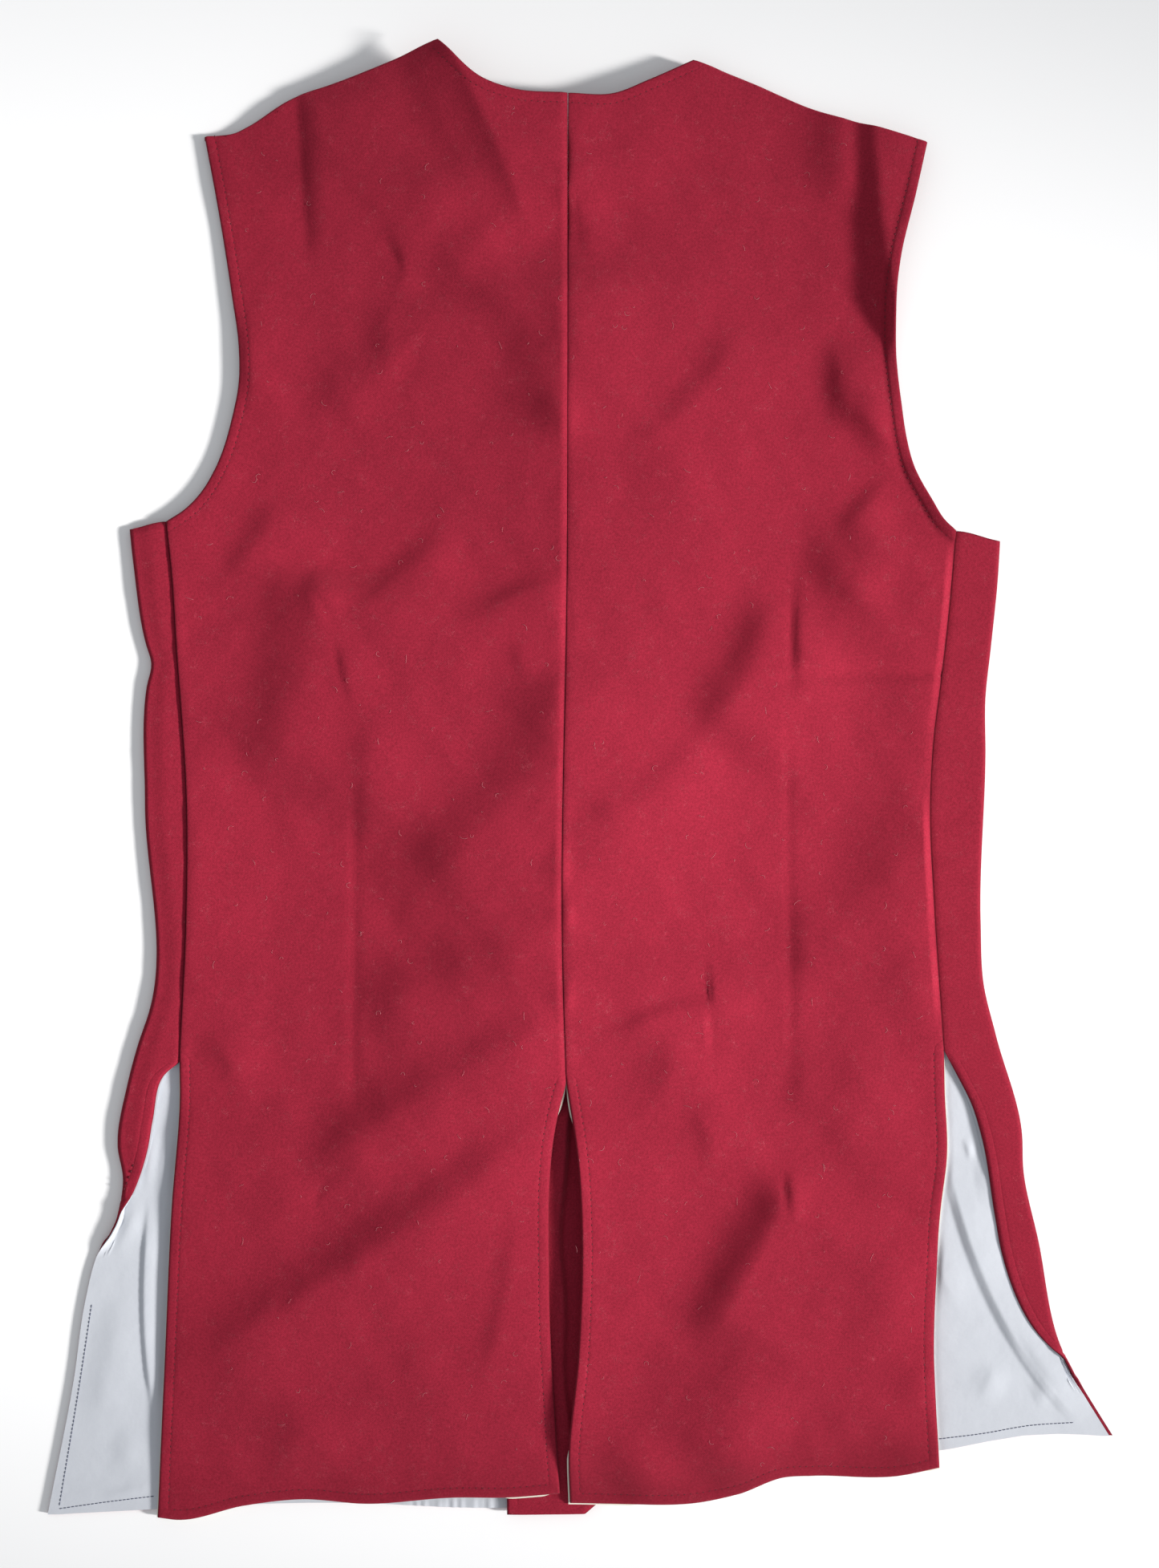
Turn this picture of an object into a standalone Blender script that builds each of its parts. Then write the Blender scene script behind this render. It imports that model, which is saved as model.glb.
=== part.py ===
"""A sleeveless wool waistcoat that lies flat with its back up.

Two fronts lie on the floor and come round the side folds to the side seams. The two halves of the
back lie on them, in soft folds, and the right front lies over the left one at the middle. Below the
vents the skirts have linings, which show where the skirts flare apart.
x is to the right, y towards the neck and z up, in metres. The origin is under the middle.
"""

from collections import namedtuple

import bpy
import numpy as np

# Cloth
WOOL = 0.0018
LINING = 0.0010
GAP = 0.0003
LINING_PEEP = 0.0006
LINING_INSET = 0.0022
PEEP_START = 0.015

# How the garment lies
TURN_RADIUS = 0.0030
LINED_TURN_RADIUS = 0.0038
SHOULDER_ROLL = 0.0024
SHOULDER_TUCK = 0.0050
ARMHOLE_TUCK = 0.0030
RUN_OUT = 0.020
FLAT_ANGLE = 0.001
STRIP_SHARE = 0.35
TURN_WIDTHS = 3
TWIST_GAP = 0.0004
STEEP_TWIST = 0.01
SIDE_RISE_WIDTH = 0.035
VENT_FADE = 0.040
UNDERARM_FADE = 0.050
SKIRT_LINING_TOP = -0.151
SKIRT_FULL_LEVEL = -0.130
SKIRT_START_LEVEL = -0.090

# The overlap of the two fronts at the middle
LEFT_FRONT_EDGE = 0.0007
LEFT_LINING_EDGE = -0.0329
RIGHT_FRONT_EDGE = -0.0439
OVERLAP_RAMP = (0.0030, 0.0098, 0.0180, 0.0265, 0.0350)
OVERLAP_PLATEAU = (-0.058, 0.035)
OVERLAP_FALL = (0.047, 0.055)

# Grid cells of the cloth
NECK_CELLS = 6
SHOULDER_CELLS = 12
ARMHOLE_ROWS = 12
BODY_ROWS = 14
SKIRT_ROWS = 11
TURNED_ROWS = 8
RUN_OUT_ROWS = 4
OPEN_ROWS = 4
ROW_CROWDING = 1.4
ROLL_ROWS = 3
TURN_CELLS = 6
STRIP_CELLS = 3
FRONT_ROWS = 10
FLAT_CELLS = 5

# Outlines seen from above, each row a point (x, y), from the neck down or from the middle out
NECK_LEFT = [(-0.0074, 0.4097), (-0.0401, 0.4116), (-0.0574, 0.4174), (-0.0847, 0.4418)]
NECK_RIGHT = [(-0.0074, 0.4097), (0.0199, 0.4102), (0.0396, 0.4183), (0.0674, 0.4313)]
SHOULDER_LEFT = [
    (-0.0847, 0.4418),
    (-0.1495, 0.4169),
    (-0.1706, 0.4102),
    (-0.1994, 0.3929),
    (-0.2066, 0.3895),
    (-0.2254, 0.3876),
]
SHOULDER_RIGHT = [
    (0.0674, 0.4313),
    (0.1025, 0.4188),
    (0.1394, 0.4030),
    (0.1817, 0.3900),
    (0.2071, 0.3823),
]
ARMHOLE_LEFT = [
    (-0.2254, 0.3876),
    (-0.2191, 0.3545),
    (-0.2090, 0.2926),
    (-0.2047, 0.2609),
    (-0.2047, 0.2393),
    (-0.2081, 0.2210),
    (-0.2191, 0.1874),
    (-0.2273, 0.1735),
    (-0.2369, 0.1634),
    (-0.2479, 0.1562),
]
ARMHOLE_RIGHT = [
    (0.2071, 0.3823),
    (0.1999, 0.3506),
    (0.1908, 0.3122),
    (0.1884, 0.2930),
    (0.1884, 0.2662),
    (0.1913, 0.2292),
    (0.1946, 0.2076),
    (0.2004, 0.1879),
    (0.2105, 0.1692),
    (0.2182, 0.1567),
    (0.2249, 0.1505),
]
SIDE_SEAM_LEFT = [
    (-0.2479, 0.1562),
    (-0.2450, 0.1308),
    (-0.2412, 0.0751),
    (-0.2383, 0.0367),
    (-0.2359, -0.0012),
    (-0.2359, -0.0838),
    (-0.2400, -0.1678),
]
SIDE_SEAM_RIGHT = [
    (0.2249, 0.1505),
    (0.2201, 0.0967),
    (0.2158, 0.0598),
    (0.2119, 0.0295),
    (0.2095, -0.0118),
    (0.2119, -0.0742),
    (0.2177, -0.1606),
]
SIDE_VENT_LEFT = [
    (-0.2400, -0.1678),
    (-0.2398, -0.1884),
    (-0.2446, -0.2556),
    (-0.2489, -0.3506),
    (-0.2532, -0.4404),
]
SIDE_VENT_RIGHT = [
    (0.2177, -0.1606),
    (0.2182, -0.1841),
    (0.2196, -0.2234),
    (0.2158, -0.2556),
    (0.2112, -0.3350),
    (0.2148, -0.4100),
]
BACK_SEAM = [(-0.0074, 0.4097), (-0.0079, 0.1322), (-0.0104, -0.1170), (-0.0084, -0.1793)]
BACK_VENT_LEFT = [
    (-0.0084, -0.1793),
    (-0.0127, -0.1956),
    (-0.0185, -0.3020),
    (-0.0146, -0.3852),
    (-0.0122, -0.4250),
]
BACK_VENT_RIGHT = [
    (-0.0084, -0.1793),
    (-0.0012, -0.2278),
    (0.0007, -0.2650),
    (-0.0012, -0.3386),
    (-0.0070, -0.4034),
    (-0.0062, -0.4306),
]
HEM_LEFT = [
    (-0.0122, -0.4250),
    (-0.0449, -0.4274),
    (-0.0746, -0.4274),
    (-0.1289, -0.4318),
    (-0.1678, -0.4294),
    (-0.2009, -0.4332),
    (-0.2422, -0.4418),
    (-0.2532, -0.4404),
]
HEM_RIGHT = [
    (-0.0062, -0.4306),
    (0.0314, -0.4313),
    (0.0737, -0.4303),
    (0.0938, -0.4260),
    (0.1212, -0.4154),
    (0.1390, -0.4150),
    (0.1903, -0.4154),
    (0.2148, -0.4100),
]
SIDE_FOLD_LEFT = [
    (-0.2695, 0.1562),
    (-0.2676, 0.1361),
    (-0.2594, 0.0814),
    (-0.2566, 0.0722),
    (-0.2594, 0.0569),
    (-0.2604, -0.0118),
    (-0.2580, -0.1380),
    (-0.2642, -0.1562),
    (-0.2710, -0.1817),
    (-0.2767, -0.2186),
    (-0.2735, -0.2380),
    (-0.2782, -0.2623),
    (-0.2897, -0.2834),
    (-0.2969, -0.3113),
    (-0.3036, -0.3574),
    (-0.3194, -0.4390),
]
SIDE_FOLD_RIGHT = [
    (0.2510, 0.1505),
    (0.2489, 0.1150),
    (0.2455, 0.0814),
    (0.2422, 0.0506),
    (0.2422, 0.0170),
    (0.2393, -0.0838),
    (0.2412, -0.1217),
    (0.2484, -0.1514),
    (0.2642, -0.2119),
    (0.2647, -0.2302),
    (0.2738, -0.2743),
    (0.2897, -0.3434),
    (0.3036, -0.3665),
    (0.3194, -0.3919),
]
FREE_EDGE_LEFT = [
    (-0.2400, -0.1678),
    (-0.2489, -0.1750),
    (-0.2561, -0.2023),
    (-0.2594, -0.2210),
    (-0.2710, -0.2522),
    (-0.2800, -0.2660),
]
FREE_EDGE_RIGHT = [
    (0.2177, -0.1606),
    (0.2254, -0.1750),
    (0.2345, -0.1932),
    (0.2402, -0.2119),
    (0.2484, -0.2604),
    (0.2527, -0.2834),
    (0.2714, -0.3271),
    (0.2905, -0.3475),
]
FRONT_HEM_LEFT = [(0.0007, -0.4342), (-0.0636, -0.4351), (-0.1332, -0.4322), (-0.3194, -0.4390)]
FRONT_HEM_RIGHT = [
    (-0.0439, -0.4385),
    (0.0022, -0.4385),
    (0.0098, -0.4322),
    (0.0607, -0.4222),
    (0.2148, -0.4010),
    (0.2738, -0.3910),
    (0.3194, -0.3919),
]
FRONT_NECK_LEFT = [(0.0007, 0.3300), (-0.0350, 0.3350), (-0.0650, 0.3700), (-0.0847, 0.4376)]
FRONT_NECK_RIGHT = [(-0.0439, 0.3300), (0.0100, 0.3340), (0.0460, 0.3700), (0.0674, 0.4271)]

# The largest folds of the back: a crest from (x0, y0) by (x1, y1) to (x2, y2), the widths of its
# flanks to the left and to the right, and its height
Fold = namedtuple("Fold", "x0 y0 x1 y1 x2 y2 left right height")
FOLDS = [
    Fold(-0.154, 0.412, -0.153, 0.363, -0.150, 0.307, 0.010, 0.029, 0.0050),
    Fold(-0.186, 0.396, -0.182, 0.365, -0.178, 0.329, 0.026, 0.010, 0.0035),
    Fold(-0.073, 0.434, -0.046, 0.387, -0.033, 0.341, 0.014, 0.010, 0.0060),
    Fold(-0.010, 0.324, -0.009, 0.262, -0.009, 0.199, 0.024, 0.019, 0.0050),
    Fold(-0.134, 0.098, -0.102, 0.122, -0.066, 0.142, 0.012, 0.019, 0.0035),
    Fold(-0.141, 0.123, -0.155, 0.075, -0.195, 0.005, 0.022, 0.029, 0.0070),
    Fold(-0.005, 0.078, -0.038, -0.005, -0.108, -0.114, 0.016, 0.022, 0.0070),
    Fold(-0.008, -0.149, -0.078, -0.179, -0.184, -0.253, 0.014, 0.022, 0.0060),
    Fold(-0.030, -0.210, -0.107, -0.281, -0.234, -0.349, 0.014, 0.022, 0.0060),
    Fold(-0.049, -0.299, -0.045, -0.331, -0.065, -0.373, 0.012, 0.017, 0.0040),
    Fold(-0.143, -0.369, -0.162, -0.393, -0.172, -0.422, 0.012, 0.014, 0.0040),
    Fold(0.181, 0.389, 0.180, 0.339, 0.185, 0.267, 0.014, 0.010, 0.0070),
    Fold(0.090, 0.280, 0.071, 0.239, 0.020, 0.197, 0.013, 0.022, 0.0040),
    Fold(0.196, 0.181, 0.170, 0.146, 0.117, 0.100, 0.014, 0.017, 0.0050),
    Fold(0.117, 0.107, 0.084, 0.037, -0.001, -0.029, 0.014, 0.024, 0.0080),
    Fold(0.205, -0.005, 0.162, -0.048, 0.138, -0.101, 0.022, 0.022, 0.0050),
    Fold(0.069, -0.160, 0.055, -0.180, 0.042, -0.198, 0.012, 0.014, 0.0040),
    Fold(0.124, -0.236, 0.102, -0.284, 0.066, -0.332, 0.014, 0.024, 0.0080),
    Fold(0.006, -0.204, 0.009, -0.300, 0.001, -0.401, 0.010, 0.017, 0.0035),
]
FOLD_SAMPLES = 17
FOLD_TAPER = 0.25
FOLD_END = 0.2
SEAM_CALM = 0.025
SEAM_CALM_END = 0.02

SHARP_ANGLE = np.radians(40)
RED = (0.30, 0.016, 0.036)
WHITE = (0.72, 0.75, 0.82)
CREAM = (0.80, 0.74, 0.60)


def rise(t):
    """A smooth step: 0 up to t = 0 and 1 from t = 1."""
    t = np.clip(t, 0, 1)
    return t * t * (3 - 2 * t)


def along(points, shares):
    """Points of the smooth curve through an outline's rows, at shares of its length."""
    p = np.array(points, float)
    step = np.linalg.norm(np.diff(p, axis=0), axis=1)
    at = np.concatenate([[0], np.cumsum(step)])
    chord = np.diff(p, axis=0) / step[:, None]
    before = step[:-1, None]
    after = step[1:, None]
    inner = (chord[:-1] * after + chord[1:] * before) / (before + after)
    tangent = np.concatenate([chord[:1], inner, chord[-1:]])
    where = np.clip(np.asarray(shares, float), 0, 1) * at[-1]
    i = np.clip(np.searchsorted(at, where, side="right") - 1, 0, len(step) - 1)
    h = step[i][:, None]
    t = ((where - at[i]) / step[i])[:, None]
    return (
        (1 + 2 * t) * (1 - t) ** 2 * p[i]
        + t * (1 - t) ** 2 * h * tangent[i]
        + t * t * (3 - 2 * t) * p[i + 1]
        + t * t * (t - 1) * h * tangent[i + 1]
    )


def evenly(points, cells):
    return along(points, np.linspace(0, 1, cells + 1))


def x_at(points, levels):
    """The x of an outline that runs down the garment, at given levels y."""
    curve = evenly(points, 200)[::-1]
    return np.interp(levels, curve[:, 1], curve[:, 0])


def y_at(points, places):
    """The y of an outline that runs across the garment, at given x."""
    curve = evenly(points, 200)
    curve = curve[np.argsort(curve[:, 0])]
    return np.interp(places, curve[:, 0], curve[:, 1])


def joined(*curves):
    """Curves that follow each other, as one row of points or levels."""
    return np.concatenate([curves[0]] + [curve[1:] for curve in curves[1:]])


def patch(top, bottom, inner, outer, pull):
    """A grid of plan points between four sides, rows from the top down.

    pull says for each column how much of the outer side's bend it follows.
    """
    down = np.linspace(0, 1, len(inner))[:, None, None]
    straight = (1 - down) * top[None] + down * bottom[None]
    inner_bend = inner - ((1 - down[:, 0]) * inner[0] + down[:, 0] * inner[-1])
    outer_bend = outer - ((1 - down[:, 0]) * outer[0] + down[:, 0] * outer[-1])
    pull = np.asarray(pull)[None, :, None]
    return straight + (1 - pull) * inner_bend[:, None] + pull * outer_bend[:, None]


def skirt_share(y):
    """1 where the skirts are lined, 0 above, with a soft change between."""
    return rise((SKIRT_START_LEVEL - y) / (SKIRT_START_LEVEL - SKIRT_FULL_LEVEL))


def turn_radius(y):
    return TURN_RADIUS + (LINED_TURN_RADIUS - TURN_RADIUS) * skirt_share(y)


def overlap_lift(y):
    """How far the right front is lifted where it lies over the left one."""
    return WOOL + GAP + skirt_share(y) * (LINING + GAP)


def support(x, y):
    """The height of what the back's wool lies on, with the gap to it."""
    low, high = OVERLAP_PLATEAU
    over = rise((x - low + OVERLAP_FALL[0]) / OVERLAP_FALL[0])
    over = over * (1 - rise((x - high) / OVERLAP_FALL[1]))
    skirt = skirt_share(y)
    linings = skirt * 2 * (LINING + GAP)
    facing = skirt * over * (WOOL - LINING)
    return GAP + WOOL + over * overlap_lift(y) + linings + facing


def side_rise(x, y, seam):
    """How far the back climbs to the side seam, where the front comes round the side."""
    inside = np.abs(x_at(seam, y) - x)
    top, vent = seam[0][1], seam[-1][1]
    levels = rise((y - vent + VENT_FADE) / VENT_FADE) * rise((top + UNDERARM_FADE - y) / UNDERARM_FADE)
    near = rise(1 - inside / SIDE_RISE_WIDTH)
    return near * levels * (2 * turn_radius(y) - support(x, y))


def fold_height(fold, x, y):
    """One fold: a crest on a bent line, with a soft flank to each side."""
    t = np.linspace(0, 1, FOLD_SAMPLES)
    start = np.array([fold.x0, fold.y0])
    middle = np.array([fold.x1, fold.y1])
    end = np.array([fold.x2, fold.y2])
    control = 2 * middle - (start + end) / 2
    line = np.outer((1 - t) ** 2, start) + np.outer(2 * t * (1 - t), control) + np.outer(t * t, end)
    way = np.gradient(line, axis=0)
    right = np.stack([-way[:, 1], way[:, 0]], axis=1)
    right = right / np.linalg.norm(right, axis=1)[:, None]
    right = right * np.where(right[:, :1] < 0, -1, 1)
    to = np.stack([x, y], axis=-1)[..., None, :] - line
    distance = np.linalg.norm(to, axis=-1)
    nearest = distance.argmin(axis=-1)
    off = np.take_along_axis(distance, nearest[..., None], axis=-1)[..., 0]
    side = np.take_along_axis((to * right).sum(axis=-1), nearest[..., None], axis=-1)[..., 0]
    width = np.where(side > 0, fold.right, fold.left)
    taper = rise(np.minimum(t, 1 - t) / FOLD_TAPER + FOLD_END)[nearest]
    return fold.height * taper * np.exp(-((off / width) ** 2))


def back_height(x, y, seam):
    """The middle of the back's wool above the floor."""
    calm = rise(np.abs(x_at(seam, y) - x) / SEAM_CALM)
    beside_seam = (y < seam[0][1] + SEAM_CALM_END) & (y > seam[-1][1] - SEAM_CALM_END)
    calm = np.where(beside_seam, calm, 1)
    folds = sum(fold_height(fold, x, y) for fold in FOLDS)
    return support(x, y) + side_rise(x, y, seam) + WOOL / 2 + calm * folds


def outward(points):
    """For each point of a row, the unit direction across the row and up the picture."""
    way = np.gradient(points, axis=0)
    across = np.stack([-way[:, 1], way[:, 0]], axis=1)
    across = across / np.linalg.norm(across, axis=1)[:, None]
    return across * np.where(across[:, 1:] < 0, -1, 1)


def make_wall(name, middle, normal, thickness, kept, material):
    """A closed wall of even thickness about a grid of middle points, over the kept cells."""
    rows, columns = middle.shape[:2]
    number = np.arange(rows * columns).reshape(rows, columns)
    cells = np.stack([number[:-1, :-1], number[1:, :-1], number[1:, 1:], number[:-1, 1:]], axis=-1)
    cells = cells[kept]
    face = np.concatenate([cells[:, [0, 1, 2]], cells[:, [0, 2, 3]]])
    edges = np.concatenate([cells[:, [k, (k + 1) % 4]] for k in range(4)])
    ordered = np.sort(edges, axis=1)
    _, first, uses = np.unique(ordered, axis=0, return_index=True, return_counts=True)
    rim = edges[first[uses == 1]]
    total = rows * columns
    a = rim[:, 0]
    b = rim[:, 1]
    sides = np.concatenate(
        [np.stack([b, a, a + total], axis=1), np.stack([b, a + total, b + total], axis=1)]
    )
    faces = np.concatenate([face, face[:, ::-1] + total, sides])
    half = normal.reshape(-1, 3) * thickness / 2
    points = np.concatenate([middle.reshape(-1, 3) + half, middle.reshape(-1, 3) - half])
    used, faces = np.unique(faces, return_inverse=True)
    points = points[used]
    faces = faces.reshape(-1, 3)
    corner = points[faces]
    if np.einsum("ij,ij->i", corner[:, 0], np.cross(corner[:, 1], corner[:, 2])).sum() < 0:
        faces = faces[:, ::-1]
    mesh = bpy.data.meshes.new(name)
    mesh.from_pydata(points.tolist(), [], faces.tolist())
    mesh.shade_smooth()
    mesh.set_sharp_from_angle(angle=SHARP_ANGLE)
    mesh.materials.append(material)
    piece = bpy.data.objects.new(name, mesh)
    bpy.context.scene.collection.objects.link(piece)
    return piece


def all_cells(middle):
    return np.ones((middle.shape[0] - 1, middle.shape[1] - 1), bool)


def back_plan(side, neck, shoulder, armhole, seam, side_vent, hem, vent):
    """The plan of one back half, its rows from the shoulder's roll down to the hem.

    It also gives the direction out of each column's top, and how much that column rolls down.
    """
    top = joined(evenly(neck, NECK_CELLS), evenly(shoulder, SHOULDER_CELLS))
    out = outward(top)
    rolls = rise((np.arange(len(top)) - NECK_CELLS) / 2)
    roll_start = top - out * (SHOULDER_ROLL + rolls * WOOL / 2)[:, None]
    level = (BACK_SEAM[0][1] - seam[0][1]) / (BACK_SEAM[0][1] - BACK_SEAM[-1][1])
    shares = np.concatenate(
        [np.linspace(0, level, ARMHOLE_ROWS + 1), np.linspace(level, 1, BODY_ROWS + 1)[1:]]
    )
    middle = joined(along(BACK_SEAM, shares), evenly(vent, SKIRT_ROWS))
    skirt = evenly(side_vent, SKIRT_ROWS)
    side_line = joined(evenly(armhole, ARMHOLE_ROWS), evenly(seam, BODY_ROWS), skirt)
    middle[: ARMHOLE_ROWS + BODY_ROWS + 1, 0] += side * GAP / 2
    side_line[ARMHOLE_ROWS : ARMHOLE_ROWS + BODY_ROWS + 1, 0] -= side * GAP / 2
    hem_line = evenly(hem, len(top) - 1)
    roll_start[0, 0] += side * GAP / 2
    middle[0] = roll_start[0]
    middle[-1] = hem_line[0]
    side_line[0] = roll_start[-1]
    side_line[-1] = hem_line[-1]
    pull = np.linspace(0, 1, len(top))
    return patch(roll_start, hem_line, middle, side_line, pull), out, rolls


def rolled(plan, height, out, rolls):
    """Adds the rows that roll down over the shoulder, and gives middle points and normals."""
    flat = np.dstack([plan, height])
    up = np.zeros_like(flat)
    up[..., 2] = 1
    steps = np.linspace(1, 0, ROLL_ROWS + 1)[:-1, None]
    angle = steps * np.pi / 2
    reach = SHOULDER_ROLL * ((1 - rolls) * steps + rolls * np.sin(angle))
    drop = SHOULDER_ROLL * rolls * (1 - np.cos(angle))
    extra = np.empty((ROLL_ROWS, plan.shape[1], 3))
    extra[..., :2] = plan[0] + out * reach[..., None]
    extra[..., 2] = height[0] - drop
    tilt = angle * rolls
    lean = np.empty_like(extra)
    lean[..., :2] = out * np.sin(tilt)[..., None]
    lean[..., 2] = np.cos(tilt)
    return np.concatenate([extra, flat]), np.concatenate([lean, up])


def make_back(name, seam, plan, out, rolls, material):
    height = back_height(plan[..., 0], plan[..., 1], seam)
    middle, normal = rolled(plan, height, out, rolls)
    return make_wall(name, middle, normal, WOOL, all_cells(middle), material)


def make_back_lining(name, side, seam, plan, material):
    """The lining under the skirt of one back half, which peeps out along its free edges."""
    rows = plan[ARMHOLE_ROWS + BODY_ROWS - 1 :].copy()
    rows[0, :, 1] = np.minimum(rows[0, :, 1], SKIRT_LINING_TOP)
    peep = LINING_PEEP * rise((rows[1, :, 1] - rows[..., 1]) / PEEP_START)
    rows[:, 0, 0] -= side * peep[:, 0]
    rows[:, -1, 0] += side * peep[:, -1]
    rows[-1, :, 1] -= LINING_PEEP
    x, y = rows[..., 0], rows[..., 1]
    height = support(x, y) + side_rise(x, y, seam) - GAP - LINING / 2
    middle = np.dstack([rows, height])
    up = np.zeros_like(middle)
    up[..., 2] = 1
    return make_wall(name, middle, up, LINING, all_cells(middle), material)


def turned_rows(side, seam, fold, free):
    """The rows of a front from the underarm to the hem.

    It gives their levels, how long the cloth turned round the side is, the angle that it turns
    through, its radius, and the x where the turn starts.
    """
    body = evenly(seam, BODY_ROWS)[:, 1]
    closer = 1 - np.linspace(1, 0, TURNED_ROWS + 1) ** ROW_CROWDING
    turned = seam[-1][1] + (free[-1][1] - seam[-1][1]) * closer
    opening = np.linspace(free[-1][1], free[-1][1] - RUN_OUT, RUN_OUT_ROWS + 1)
    open_rows = OPEN_ROWS if side < 0 else 1
    flat = np.linspace(opening[-1], fold[-1][1], open_rows + 1)
    levels = joined(body, turned, opening, flat)
    edge = x_at(fold, levels)
    radius = turn_radius(levels)
    ends = np.where(levels >= seam[-1][1], x_at(seam, levels) + side * GAP / 2, x_at(free, levels))
    seen = side * (edge - ends)
    seen = np.where(levels < free[-1][1] - GAP, 0, np.maximum(seen, 0))
    angle = np.pi / 2 * (1 + rise(seen / (TURN_WIDTHS * radius)))
    last = angle[levels > free[-1][1] - GAP][-1]
    past = free[-1][1] - levels
    angle = np.where(past > 0, last * rise(1 - past / RUN_OUT), angle)
    length = np.maximum(np.pi * radius + seen - radius, np.pi * radius)
    some = np.maximum(angle, FLAT_ANGLE)
    reach = np.pi * radius * np.sin(np.minimum(some, np.pi / 2)) / some
    return levels, length, angle, radius, edge - side * reach


def turned_part(side, levels, length, angle, radius, start):
    """Middle points and inner normals of the cloth from the start of the turn to its free edge."""
    arc = np.pi * radius[:, None]
    strip = length[:, None] - arc
    bent = arc * (1 - STRIP_SHARE * (strip < STRIP_SHARE * arc))
    first = bent * np.linspace(0, 1, TURN_CELLS + 1)
    rest = bent + (length[:, None] - bent) * np.linspace(0, 1, STRIP_CELLS + 1)[1:]
    run = np.concatenate([first, rest], axis=1)
    on_arc = np.minimum(run, arc)
    angle = np.maximum(angle[:, None], FLAT_ANGLE)
    turn = angle * on_arc / arc
    x = arc / angle * np.sin(turn)
    z = arc / angle * (1 - np.cos(turn))
    past = run - on_arc
    x = x + past * np.cos(turn)
    z = z + past * np.sin(turn)
    level = np.broadcast_to(levels[:, None], x.shape)
    middle = np.stack([start[:, None] + side * x, level, z], axis=-1)
    inner = np.stack([-side * np.sin(turn), np.zeros_like(turn), np.cos(turn)], axis=-1)
    middle[..., 2] += WOOL / 2
    return middle, inner


Front = namedtuple("Front", "side edge ramp seam fold free hem neck shoulder armhole")


def front_columns(front, start, foot_run):
    """The x of the flat columns of one row, from the front edge to the start of the turn."""
    first = np.array([front.edge, *front.ramp])
    foot = start - front.side * foot_run
    across = np.linspace(first[-1], foot, FLAT_CELLS + 1)[1:]
    return np.concatenate([first, across, [(foot + start) / 2, start]])


def front_height(front, x, y):
    """The middle of the flat cloth: on the floor, and over the other front on the right one."""
    if front.side < 0:
        return np.full_like(x, WOOL / 2)
    over = 1 - rise((x - OVERLAP_RAMP[0]) / (OVERLAP_RAMP[-1] - OVERLAP_RAMP[0]))
    return WOOL / 2 + over * overlap_lift(y)


def front_grid(front):
    """Middle points, inner normals and kept cells of one front."""
    rows = turned_rows(front.side, front.seam, front.fold, front.free)
    levels = rows[0]
    start = rows[-1]
    armhole = np.array(front.armhole) - [front.side * ARMHOLE_TUCK, 0]
    armhole[-1] = np.array(front.seam[0]) - [front.side * ARMHOLE_TUCK / 2, ARMHOLE_TUCK]
    foot_run = abs(start[0] - armhole[-1, 0])
    flat_x = np.stack([front_columns(front, x, foot_run) for x in start])
    share = (levels - levels[-1]) / (levels[0] - levels[-1])
    hem_y = y_at(front.hem, flat_x[-1])
    flat_y = (1 - share)[:, None] * hem_y + share[:, None] * armhole[-1, 1]
    flat = np.dstack([flat_x, flat_y, front_height(front, flat_x, flat_y)])
    turned, turned_normal = turned_part(front.side, *rows)
    lower = np.concatenate([flat[:, :-1], turned], axis=1)
    lower_normal = np.zeros_like(lower)
    lower_normal[..., 2] = 1
    lower_normal[:, flat.shape[1] - 1 :] = turned_normal

    foot = flat.shape[1] - 3
    base = flat[0, : foot + 1, :2]
    neck_x = base[: len(front.ramp) + 1, 0]
    neck = np.stack([neck_x, y_at(front.neck, neck_x)], axis=1)
    shoulder = np.array(front.shoulder) - [front.side * ARMHOLE_TUCK, SHOULDER_TUCK]
    shoulder[0] = front.neck[-1]
    top = np.concatenate([neck, evenly(shoulder, foot - len(neck))])
    inner = evenly([top[0], base[0]], FRONT_ROWS)
    armhole[0] = top[-1]
    outer = evenly(armhole, FRONT_ROWS)
    pull = rise((np.arange(foot + 1) - len(front.ramp)) / (foot - len(front.ramp)))
    upper_plan = patch(top, base, inner, outer, pull)
    upper = np.zeros((FRONT_ROWS, lower.shape[1], 3))
    upper_z = front_height(front, upper_plan[..., 0], upper_plan[..., 1])
    upper[:, : foot + 1] = np.dstack([upper_plan, upper_z])[:-1]
    upper_normal = np.zeros_like(upper)
    upper_normal[..., 2] = 1

    middle = np.concatenate([upper, lower])
    normal = np.concatenate([upper_normal, lower_normal])
    kept = all_cells(middle)
    kept[:FRONT_ROWS, foot:] = False
    return middle, normal, kept


def skirt_rows(middle, normal):
    """The rows of a front that its skirt lining covers, the first one at the lining's top."""
    first = FRONT_ROWS + BODY_ROWS - 1
    rows = middle[first:].copy()
    rows[0, :, 1] = SKIRT_LINING_TOP
    return rows, normal[first:]


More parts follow.
